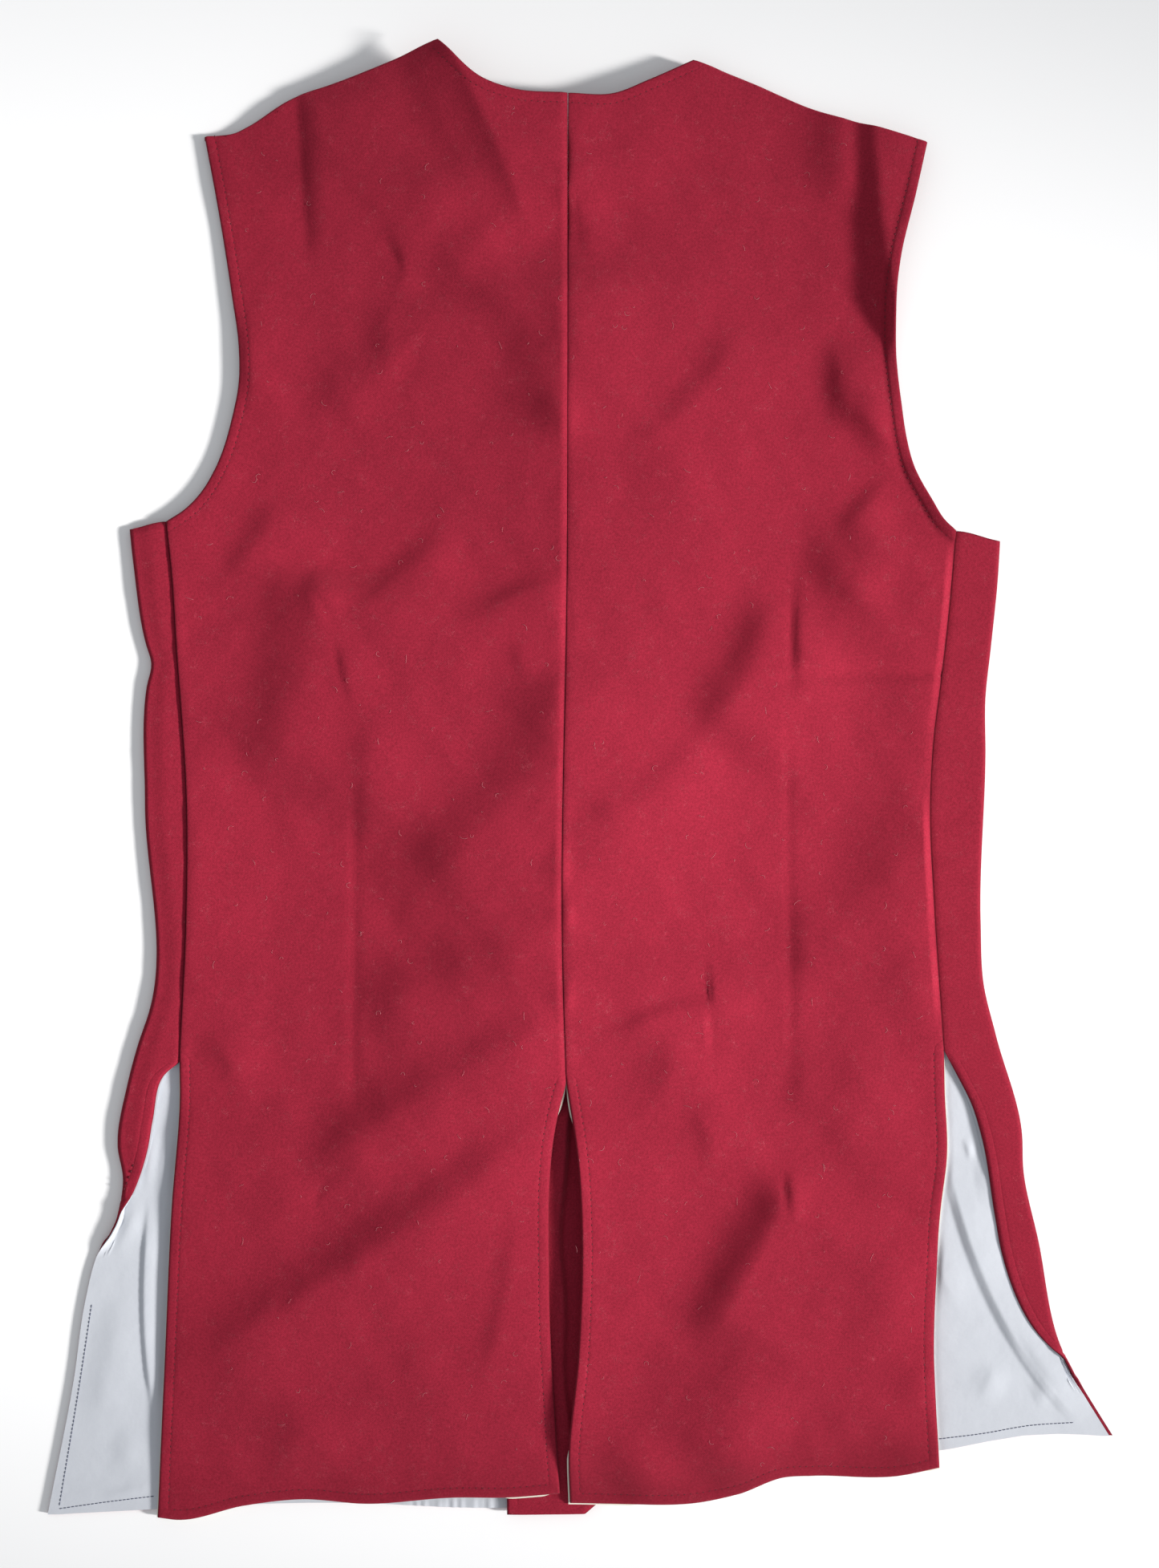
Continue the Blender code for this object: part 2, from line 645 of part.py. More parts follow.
def make_front_lining(name, front, middle, normal, first_column, material):
    """The lining inside the skirt of a front, round the side with it."""
    rows, up = skirt_rows(middle, normal)
    rows = rows[:, first_column:]
    up = up[:, first_column:]
    angle = turned_rows(front.side, front.seam, front.fold, front.free)[2]
    twist = np.sin(angle[-len(rows) :])
    bent = np.arange(rows.shape[1])[::-1] < TURN_CELLS + STRIP_CELLS
    apart = WOOL / 2 + GAP + LINING / 2 + TWIST_GAP * twist[:, None] * bent
    rows = rows + up * apart[..., None]
    rows[:, 0, 0] += front.side * GAP
    out = rows[:, -1] - rows[:, -2]
    out = out / np.linalg.norm(out, axis=1)[:, None]
    turned = rows[:, -1, 1] > front.free[-1][1]
    opening = rise((front.seam[-1][1] - rows[:, -1, 1]) / PEEP_START) * (twist < STEEP_TWIST)
    inset = -LINING_INSET if front.side > 0 else 0.0
    rows[:, -1] += out * np.where(turned, LINING_PEEP * opening, 0)[:, None]
    for step in range(STRIP_CELLS):
        share = (STRIP_CELLS - step) / STRIP_CELLS
        rows[:, -1 - step] += out * np.where(turned, 0, inset * share)[:, None]
    return make_wall(name, rows, up, LINING, all_cells(rows), material)


def make_facing(name, middle, normal, last_column, material):
    """The facing inside the edge of a front, as far as the first column of its lining."""
    rows, up = skirt_rows(middle, normal)
    up = up[:, : last_column + 1]
    rows = rows[:, : last_column + 1] + up * (WOOL + GAP)
    return make_wall(name, rows, up, WOOL, all_cells(rows), material)


def make_material(name, colour, roughness):
    material = bpy.data.materials.new(name)
    material.use_nodes = True
    surface = material.node_tree.nodes["Principled BSDF"]
    surface.inputs["Base Color"].default_value = (*colour, 1)
    surface.inputs["Roughness"].default_value = roughness
    surface.inputs["Metallic"].default_value = 0
    return material


def main():
    for thing in list(bpy.data.objects):
        bpy.data.objects.remove(thing)
    red = make_material("red_wool", RED, 0.9)
    white = make_material("white_cotton", WHITE, 0.7)
    cream = make_material("cream_cotton", CREAM, 0.8)

    left = Front(
        -1,
        LEFT_FRONT_EDGE,
        (LEFT_LINING_EDGE,),
        SIDE_SEAM_LEFT,
        SIDE_FOLD_LEFT,
        FREE_EDGE_LEFT,
        FRONT_HEM_LEFT,
        FRONT_NECK_LEFT,
        SHOULDER_LEFT,
        ARMHOLE_LEFT,
    )
    right = Front(
        1,
        RIGHT_FRONT_EDGE,
        OVERLAP_RAMP,
        SIDE_SEAM_RIGHT,
        SIDE_FOLD_RIGHT,
        FREE_EDGE_RIGHT,
        FRONT_HEM_RIGHT,
        FRONT_NECK_RIGHT,
        SHOULDER_RIGHT,
        ARMHOLE_RIGHT,
    )
    for name, front in (("left", left), ("right", right)):
        middle, normal, kept = front_grid(front)
        make_wall(f"front_{name}", middle, normal, WOOL, kept, red)
        lining_column = 1 if front.side < 0 else 2
        make_front_lining(f"front_lining_{name}", front, middle, normal, lining_column, white)
        if front.side > 0:
            make_facing("front_facing", middle, normal, 2, red)

    left_sides = (
        NECK_LEFT,
        SHOULDER_LEFT,
        ARMHOLE_LEFT,
        SIDE_SEAM_LEFT,
        SIDE_VENT_LEFT,
        HEM_LEFT,
        BACK_VENT_LEFT,
    )
    right_sides = (
        NECK_RIGHT,
        SHOULDER_RIGHT,
        ARMHOLE_RIGHT,
        SIDE_SEAM_RIGHT,
        SIDE_VENT_RIGHT,
        HEM_RIGHT,
        BACK_VENT_RIGHT,
    )
    for name, side, outline in (("left", -1, left_sides), ("right", 1, right_sides)):
        plan, out, rolls = back_plan(side, *outline)
        seam = outline[3]
        make_back(f"back_{name}", seam, plan, out, rolls, red)
        make_back_lining(f"back_lining_{name}", side, seam, plan, cream)


main()
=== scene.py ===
"""The looks of a sleeveless wool waistcoat that lies flat with its back up.

Every cloth is a thin wall over a grid of points, as fine as its folds and edges need. The plan of a
panel is spread between its outlines, and its height is what it lies on plus its folds, creases,
seams and stitched edges. The stitches, and the fibres on the wool, are short thin tubes. x is to
the right, y towards the neck and z up, in metres.
"""

from collections import namedtuple

import bpy
import numpy as np
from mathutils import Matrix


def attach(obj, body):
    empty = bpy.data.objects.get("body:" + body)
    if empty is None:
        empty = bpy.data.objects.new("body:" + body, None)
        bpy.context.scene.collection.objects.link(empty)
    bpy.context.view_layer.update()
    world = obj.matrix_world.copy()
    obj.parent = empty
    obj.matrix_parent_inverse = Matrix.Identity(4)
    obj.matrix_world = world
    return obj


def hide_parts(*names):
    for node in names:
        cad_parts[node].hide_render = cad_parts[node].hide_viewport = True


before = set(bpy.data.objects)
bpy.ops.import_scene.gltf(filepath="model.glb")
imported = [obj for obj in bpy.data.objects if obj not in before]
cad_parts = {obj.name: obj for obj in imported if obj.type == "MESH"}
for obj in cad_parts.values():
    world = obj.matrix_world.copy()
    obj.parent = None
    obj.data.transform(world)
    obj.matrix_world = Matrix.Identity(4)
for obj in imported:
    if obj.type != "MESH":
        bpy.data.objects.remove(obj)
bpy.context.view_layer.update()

# Cloth: the thickness of the walls and the gap between them, and how the wool swells from its edges
WOOL = 0.0015
LINING = 0.0007
GAP = 0.0003
THINNEST = 0.0004
LOFT = 0.0004
LOFT_WIDTH = 0.005
UNDERSIDE_LOFT = 0.0010
UNEVEN_START = 0.008

# Slow waves of the cloth: their radians in each metre to the right and up, start and height
Wave = namedtuple("Wave", "right up start height")
WAVES = [
    Wave(71, 23, 0.4, 0.00016),
    Wave(-37, 64, 1.9, 0.00018),
    Wave(110, -83, 4.1, 0.00009),
    Wave(49, 128, 2.6, 0.00008),
    Wave(-153, 61, 5.5, 0.00006),
    Wave(201, 142, 0.9, 0.00005),
    Wave(-290, 240, 3.3, 0.000035),
    Wave(330, 410, 1.1, 0.000025),
    Wave(520, -350, 2.2, 0.000016),
]
# Two more that bend all of these, by as many radians as their height
BENDS = [Wave(-17, 31, 0, 1.3), Wave(97, 73, 0, 0.9)]

# The front's turn round the side fold, and the strip past it. A strip that is wider than some radii
# turns a full half round, and where less strip than a share of the arc is left, its columns take that
# share of the arc too. The turn runs out to flat below the free edge.
TURN_RADIUS = 0.0020
LINED_TURN_RADIUS = 0.0022
TURN_WIDTHS = 3
STRIP_SHARE = 0.35
RUN_OUT = 0.020
FLAT_ANGLE = 0.001

# How far the front's hidden edges lie inside the back's, and its strip's corner hangs from the underarm
ARMHOLE_TUCK = 0.0030
SHOULDER_TUCK = 0.0050
UNDERARM_DROP = {"left": 0.0048, "right": 0.0062}
UNDERARM_DROP_LENGTH = 0.050

# The side fold, darkened with painted shade from a share of the half round to its end, and lower on the left
# front
FOLD_FALL = 0.0010
FOLD_FALL_LENGTH = 0.0110
FOLD_PAINTED_SHADE = 2.4
FOLD_PAINTED_SHADE_RISE = 0.2
FOLD_PAINTED_SHADE_FALL = 0.3

# The strip's relief: it starts and is full at runs in radii and at turns in radians, and marks are set
# where enough of it shows. A mark elsewhere is a distance that no line reaches.
STRIP_UNEVEN = 0.5
STRIP_WAVES = 1.7
RELIEF_RADII = (1.6, 2.8)
RELIEF_ANGLES = (0.8, 1.4)
SHOWING = 0.2
FAR = 0.05
NO_SEAM = 1.0

# How high the back lies: its roll over the shoulder, its rise to the side seams, the dome of its middle,
# which changes from one fall to the other at a level over a length, and the lift beside the vent
SHOULDER_ROLL = 0.0024
SIDE_RISE_WIDTH = 0.055
UNDERARM_FADE = 0.050
VENT_FADE = 0.040
DOME_HEIGHT = 0.0098
DOME_STEEP = {"left": 0.120, "right": 0.090}
DOME_ROUNDED = {"left": 0.150, "right": 0.125}
DOME_ROUND = 0.006
DOME_LEVELS = (-0.260, 0.400)
DOME_FADE = 0.150
DOME_CHANGE = {"left": (-0.160, 0.060), "right": (-0.100, 0.070)}
VENT_LIFT = {"left": 0.0014, "right": 0.0094}
VENT_LIFT_WIDTH = {"left": 0.130, "right": 0.060}
VENT_LIFT_START = 0.050
VENT_LIFT_BOTTOM = -0.440
VENT_LIFT_END = 0.060

# The overlap of the two fronts at the middle
LEFT_FRONT_EDGE = 0.0007
LEFT_LINING_EDGE = -0.0329
RIGHT_FRONT_EDGE = -0.0439
OVERLAP_RAMP = (0.0030, 0.0098, 0.0180, 0.0265, 0.0350)
OVERLAP_PLATEAU = (-0.058, 0.035)
OVERLAP_FALL = (0.110, 0.110)

# The crest and flanks of a fold: the length that its ends taper over, between two shares of the whole,
# how many widths its flanks reach, where a sharp one starts to end and over how many widths, and how
# far a cornered one reaches
FOLD_SAMPLES = 33
TAPER_LENGTH = 0.032
TAPER_SHARES = (0.22, 0.5)
FLANK_REACH = 2.6
FLANK_END = (1.4, 1.2)
CREST_ROUND = 0.0020
CORNER_REACH = 1.5
CORNER_ROUND = 0.12

# Stitched edges: a rounded rim, a soft roll and a valley under the stitches. They get painted shade at
# the hem and the right armhole, which curls up below the first level and less below the second.
STITCH_IN = 0.0062
RIM_WIDTH = 0.0013
RIM_DEPTH = 0.0009
ROLL_HEIGHT = 0.00008
VALLEY_DEPTH = 0.00010
VALLEY_WIDTH = 0.0009
HEM_BAND_PAINTED_SHADE_WIDTH = 0.0014
HEM_SHADE = {"left": 0.6, "right": 1.3}
HEM_SHADE_WIDTH = 0.018
ARMHOLE_PAINTED_SHADE = 1.5
ARMHOLE_PAINTED_SHADE_WIDTH = 0.0016
ARMHOLE_PAINTED_SHADE_REACH = 0.012
CURL = 0.0032
CURL_WIDTH = STITCH_IN + 0.0018
CURL_LEVELS = (0.330, 0.400)
CURL_FADE = 0.060
CURL_ABOVE = 0.35

# Seams: a rounded rim in a dip, with puckers beside it. The folds are calm beside the side seams, and
# the middle seam has a ridge to its left, falls deeper between two levels and is closed between others,
# where its painted shade line fades.
SEAM_RIM_WIDTH = 0.0009
SEAM_RIM_DEPTH = 0.0003
SEAM_DIP_WIDTH = 0.0018
SEAM_DIP_DEPTH = 0.0002
PUCKER_HEIGHT = 0.00012
PUCKER_PITCH = 0.013
PUCKER_BEND = 90
PUCKER_WIDTH = 0.006
SEAM_CALM = 0.005
SEAM_CALM_END = 0.02
SEAM_RIDGE = 0.0008
SEAM_RIDGE_START = 0.0040
SEAM_RIDGE_WIDTH = 0.022
SEAM_WAVE_PITCHES = (0.041, 0.017)
SEAM_STEP = 0.0002
SEAM_STEP_WIDTH = 0.0016
SEAM_DEEP_STEP = 0.0010
SEAM_DEEP_LEVELS = (0.315, 0.400)
SEAM_DEEP_FADE = 0.030
SEAM_CLOSED = 0.0006
SEAM_CLOSED_LEVELS = (0.140, 0.310)
SEAM_CLOSED_FADE = 0.02

# The skirts' linings: where they start, how closely the back's follow the wool, the front grid's
# column that the fronts' start at, and their creases and crinkles
SKIRT_START_LEVEL = -0.090
SKIRT_FULL_LEVEL = -0.130
SKIRT_LINING_TOP = -0.151
LINING_FOLLOW = 0.025
LINING_START = {"left": 1, "right": 2}
LINING_INSET = {"left": 0.0, "right": 0.0022}
TWIST_GAP = 0.0004
FLAT_TWIST = 0.01
FLAT_NORMAL = 0.999
LINING_EDGE = 0.0005
LINING_FADE = 0.004
LINING_SWELL = 0.0003
LINING_UNEVEN = 0.12
LINING_WAVES = 1.5
CRINKLE_START = 0.0004
CRINKLE_PLACES = (-0.146, -0.044)
CRINKLE_FADES = (0.012, 0.004)
CRINKLE_PITCHES = (0.0072, 0.0043)
CRINKLE_BEND = 260
CRINKLE_HEIGHT = 0.00025
CRINKLE_SWELL = 0.00035

# How far the linings show past the wool. For the middle vent and the hem, these are levels or distances
# from the middle, and how much shows there.
PEEP_START = 0.015
STRIP_PEEP = 0.0012
SIDE_PEEP = 0.0006
VENT_PEEP = {
    "left": ((-0.43, -0.200, -0.194, -0.18), (-0.0003, -0.0003, 0.0010, 0.0012)),
    "right": (
        (-0.43, -0.402, -0.396, -0.205, -0.198, -0.18),
        (0.0009, 0.0009, -0.0003, -0.0003, 0.0009, 0.0009),
    ),
}
HEM_PEEP = {
    "left": ((0.018, 0.022, 0.042, 0.046), (0.0002, 0.0012, 0.0012, 0.0002)),
    "right": ((0.030, 0.037, 0.20, 0.21), (0.0010, 0.0002, 0.0002, 0.0015)),
}

# The facing in the middle vent: pairs are a place from the vent's left edge or top, and a fade
FACING_LIFT = 0.88
FACING_LIFT_LEFT = (-0.006, 0.005)
FACING_LIFT_RIGHT = (0.0065, 0.0040)
FACING_LIFT_WAVE = 0.0012
FACING_LIFT_BEND = 75
FACING_LIFT_TOP = (0.004, 0.020)

# Threads. A stitch has rings at shares of its half length, which swell to shares of its radius. Stitches
# are only where they keep their distance from the nearest edge, and stay clear of seams.
STITCH_PITCH = 0.0038
STITCH_LENGTH = 0.0018
STITCH_DIP = 0.00035
STITCH_RINGS = np.array([-1, -0.86, -0.45, 0, 0.45, 0.86, 1])
STITCH_SWELL = np.array([0.05, 0.8, 1, 1, 1, 0.8, 0.05])
THREAD_RADIUS = 0.00030
THREAD_SIDES = 6
STITCH_IN_LEAST = STITCH_IN - 0.00015
SEAM_CLEAR = 0.0008
TURN_CLEAR = 0.7
FREE_EDGE_CLEAR = (0.004, 0.001)
BELOW_ARM_START = 0.45
BELOW_ARM_POINTS = 40
WAY_STEP = 0.001
THREAD_SINK = 0.00004
STRIP_THREAD_SINK = 0.00040
LINING_PITCH = 0.0024
LINING_THREAD = 0.00028
LINING_THREAD_RISE = 0.00008

# The fibres on each half of the back
LINT_SEED = 7
LINT_COUNT = 170
LINT_POINTS = 6
LINT_PLACES = {"left": (-0.235, -0.012), "right": (-0.004, 0.205)}
LINT_LEVELS = (-0.41, 0.40)
LINT_FROM_SIDE = 0.008
LINT_LENGTHS = (0.0015, 0.0055)
LINT_CURL = 2.2
LINT_RADIUS = 0.00006
LINT_RISE = 0.00018
LINT_BOW = 0.0002

# Grid cells, and the finest steps from an edge or the shoulder. The back's columns and rows are spread
# over spans from its neck and shoulder, and from its armhole, side seam and side vent. Faces that meet at
# more than the sharp angle, in degrees, have a sharp edge.
SHARP_ANGLE = 55
OUTLINE_CELLS = 200
EDGE_CELLS = 70
STITCH_LINE_CELLS = 900
LINING_LINE_CELLS = 300
LINT_EDGE_CELLS = 60
NEAR_EDGE = np.array([0, 0.5, 1.2, 2.1, 3.2, 4.4, 5.3, 6.0, 6.7, 7.7, 9.2, 11.2]) / 1000
NEAR_SHOULDER = np.array([0, 0.9, 1.9, 2.8, 3.5, 4.1, 4.8, 5.8]) / 1000
NECK_LENGTH = 0.080
NECK_CELLS = 25
NECK_SPAN = 1 / 3
SHOULDER_LENGTH = 0.157
SHOULDER_CELLS = 57
SHOULDER_ROLL_SPAN = 1 / 9
SHOULDER_ROLL_ROWS = 7
ARMHOLE_START = 0.0074
ARMHOLE_LENGTH = 0.250
ARMHOLE_ROWS = 90
BODY_ROWS = 118
SKIRT_LENGTH = 0.255
SKIRT_ROWS = 86
ARMHOLE_SPAN = 12
BODY_SPAN = 14
SKIRT_SPAN = 11
TURNED_ROWS = 44
RUN_OUT_ROWS = 12
OPEN_ROWS = {"left": 50, "right": 12}
ROW_CROWDING = 1.2
TURN_CELLS = 14
STRIP_CELLS = 14
FRONT_ROWS = 26
FLAT_CELLS = 12
LINING_CELLS = (0.0024, 0.0013)
FACING_CELLS = (0.0030, 0.0008)

# Colours, in pairs where a noise or a weave blends them, and the dark colours of the painted shade.
# How much of the fibres' colour shows, how dark the painted shade is at the marked places and on the
# wool's lines, how wide those painted lines are, and the threads in each metre of the weaves.
WOOL_CLOUD = ((0.269, 0.0116, 0.0300, 1), (0.281, 0.0126, 0.0320, 1))
WOOL_GRAIN = ((0.74, 0.67, 0.70, 1), (1.24, 1.29, 1.27, 1))
WOOL_FIBRE = (0.62, 0.16, 0.19, 1)
# The dark colours of the painted shade: on the wool, and deeper in its seams
WOOL_PAINTED_SHADE_COLOUR = (0.12, 0.004, 0.012, 1)
SEAM_PAINTED_SHADE_COLOUR = (0.05, 0.002, 0.006, 1)
WOOL_SHEEN = (1.0, 0.35, 0.42, 1)
FIBRE_SHARE = 0.22
PAINTED_SHADE_DARKNESS = 0.26
RIM_PAINTED_SHADE = 0.75
VALLEY_PAINTED_SHADE = 0.05
SEAM_PAINTED_SHADE = 0.55
RIM_LINE_WIDTH = 0.0007
VALLEY_LINE_WIDTH = 0.00055
SEAM_LINE_WIDTH = 0.0006
WOOL_THREADS = 900.0
COTTON_THREADS = 1800.0
WHITE_COTTON = ((0.514, 0.535, 0.584, 1), (0.580, 0.602, 0.645, 1))
CREAM_COTTON = ((0.76, 0.71, 0.60, 1), (0.84, 0.80, 0.70, 1))
RED_THREAD = (0.10, 0.005, 0.014)
GREY_THREAD = (0.11, 0.12, 0.18)
PALE_FIBRE = (0.62, 0.26, 0.28)
PALE_FLOOR = ((0.94, 0.94, 0.94, 1), (0.95, 0.95, 0.95, 1))

# The light, by its azimuth, elevation and spread in degrees, the sky, and the camera straight above
LIGHT_AIM = (-0.04, -0.03)
LIGHT_AZIMUTH = -12
LIGHT_ELEVATION = 24
LIGHT_DISTANCE = 5.5
LIGHT_SIZE = 1.0
LIGHT_SPREAD = 13.6
LIGHT_POWER = 7.9
LIGHT_COLOUR = (1.0, 0.98, 0.96)
SKY_COLOUR = (0.93, 0.96, 1.0, 1)
SKY_STRENGTH = 0.48
FLOOR_REACH = 4.0
CAMERA_PLACE = (-0.0005, -0.0010, 1.606)
CAMERA_LENS = 61.38
CAMERA_SENSOR = 36
CAMERA_FAR = 20

# Outlines seen from above, each row a point (x, y), from the neck down or from the middle out
NECK_LEFT = [(-0.0074, 0.4097), (-0.0401, 0.4116), (-0.0574, 0.4174), (-0.0847, 0.4418)]
NECK_RIGHT = [(-0.0074, 0.4097), (0.0199, 0.4102), (0.0396, 0.4183), (0.0674, 0.4313)]
SHOULDER_LEFT = [
    (-0.0847, 0.4418),
    (-0.1495, 0.4169),
    (-0.1706, 0.4102),
    (-0.1994, 0.3929),
    (-0.2066, 0.3895),
    (-0.2254, 0.3876),
]
SHOULDER_RIGHT = [
    (0.0674, 0.4313),
    (0.1025, 0.4188),
    (0.1394, 0.4030),
    (0.1817, 0.3900),
    (0.2071, 0.3823),
]
ARMHOLE_LEFT = [
    (-0.2254, 0.3876),
    (-0.2191, 0.3545),
    (-0.2090, 0.2926),
    (-0.2047, 0.2609),
    (-0.2047, 0.2393),
    (-0.2081, 0.2210),
    (-0.2191, 0.1874),
    (-0.2273, 0.1735),
    (-0.2369, 0.1634),
    (-0.2479, 0.1562),
]
ARMHOLE_RIGHT = [
    (0.2071, 0.3823),
    (0.1999, 0.3506),
    (0.1908, 0.3122),
    (0.1884, 0.2930),
    (0.1884, 0.2662),
    (0.1913, 0.2292),
    (0.1946, 0.2076),
    (0.2004, 0.1879),
    (0.2105, 0.1692),
    (0.2182, 0.1567),
    (0.2249, 0.1505),
]
SIDE_SEAM_LEFT = [
    (-0.2479, 0.1562),
    (-0.2450, 0.1308),
    (-0.2412, 0.0751),
    (-0.2383, 0.0367),
    (-0.2359, -0.0012),
    (-0.2359, -0.0838),
    (-0.2400, -0.1678),
]
SIDE_SEAM_RIGHT = [
    (0.2249, 0.1505),
    (0.2201, 0.0967),
    (0.2158, 0.0598),
    (0.2119, 0.0295),
    (0.2095, -0.0118),
    (0.2119, -0.0742),
    (0.2177, -0.1606),
]
SIDE_VENT_LEFT = [
    (-0.2400, -0.1678),
    (-0.2398, -0.1884),
    (-0.2446, -0.2556),
    (-0.2489, -0.3506),
    (-0.2532, -0.4404),
]
SIDE_VENT_RIGHT = [
    (0.2177, -0.1606),
    (0.2182, -0.1841),
    (0.2196, -0.2234),
    (0.2158, -0.2556),
    (0.2112, -0.3350),
    (0.2148, -0.4100),
]
BACK_SEAM = [(-0.0074, 0.4097), (-0.0079, 0.1322), (-0.0104, -0.1170), (-0.0084, -0.1793)]
BACK_VENT_LEFT = [
    (-0.0084, -0.1793),
    (-0.0127, -0.1956),
    (-0.0185, -0.3020),
    (-0.0146, -0.3852),
    (-0.0122, -0.4250),
]
BACK_VENT_RIGHT = [
    (-0.0084, -0.1793),
    (-0.0012, -0.2278),
    (0.0007, -0.2650),
    (-0.0012, -0.3386),
    (-0.0070, -0.4034),
    (-0.0062, -0.4306),
]
HEM_LEFT = [
    (-0.0122, -0.4250),
    (-0.0449, -0.4274),
    (-0.0746, -0.4274),
    (-0.1289, -0.4318),
    (-0.1678, -0.4294),
    (-0.2009, -0.4332),
    (-0.2422, -0.4418),
    (-0.2532, -0.4404),
]
HEM_RIGHT = [
    (-0.0062, -0.4306),
    (0.0314, -0.4313),
    (0.0737, -0.4303),
    (0.0938, -0.4260),
    (0.1212, -0.4154),
    (0.1390, -0.4150),
    (0.1903, -0.4154),
    (0.2148, -0.4100),
]
SIDE_FOLD_LEFT = [
    (-0.2695, 0.1562),
    (-0.2676, 0.1361),
    (-0.2594, 0.0814),
    (-0.2566, 0.0722),
    (-0.2594, 0.0569),
    (-0.2604, -0.0118),
    (-0.2580, -0.1380),
    (-0.2642, -0.1562),
    (-0.2710, -0.1817),
    (-0.2767, -0.2186),
    (-0.2735, -0.2380),
    (-0.2782, -0.2623),
    (-0.2897, -0.2834),
    (-0.2969, -0.3113),
    (-0.3036, -0.3574),
    (-0.3194, -0.4390),
]
SIDE_FOLD_RIGHT = [
    (0.2510, 0.1505),
    (0.2489, 0.1150),
    (0.2455, 0.0814),
    (0.2422, 0.0506),
    (0.2422, 0.0170),
    (0.2393, -0.0838),
    (0.2412, -0.1217),
    (0.2484, -0.1514),
    (0.2642, -0.2119),
    (0.2647, -0.2302),
    (0.2738, -0.2743),
    (0.2897, -0.3434),
    (0.3036, -0.3665),
    (0.3194, -0.3919),
]
FREE_EDGE_LEFT = [
    (-0.2400, -0.1678),
    (-0.2489, -0.1750),
    (-0.2561, -0.2023),
    (-0.2594, -0.2210),
    (-0.2710, -0.2522),
    (-0.2800, -0.2660),
]
FREE_EDGE_RIGHT = [
    (0.2177, -0.1606),
    (0.2254, -0.1750),
    (0.2345, -0.1932),
    (0.2402, -0.2119),
    (0.2484, -0.2604),
    (0.2527, -0.2834),
    (0.2714, -0.3271),
    (0.2905, -0.3475),
]
FRONT_HEM_LEFT = [(0.0007, -0.4342), (-0.0636, -0.4351), (-0.1332, -0.4322), (-0.3194, -0.4390)]
FRONT_HEM_RIGHT = [
    (-0.0439, -0.4385),
    (0.0022, -0.4385),
    (0.0098, -0.4322),
    (0.0607, -0.4222),
    (0.2148, -0.4010),
    (0.2738, -0.3910),
    (0.3194, -0.3919),
]
FRONT_NECK_LEFT = [(0.0007, 0.3300), (-0.0350, 0.3350), (-0.0650, 0.3700), (-0.0847, 0.4376)]
FRONT_NECK_RIGHT = [(-0.0439, 0.3300), (0.0100, 0.3340), (0.0460, 0.3700), (0.0674, 0.4271)]

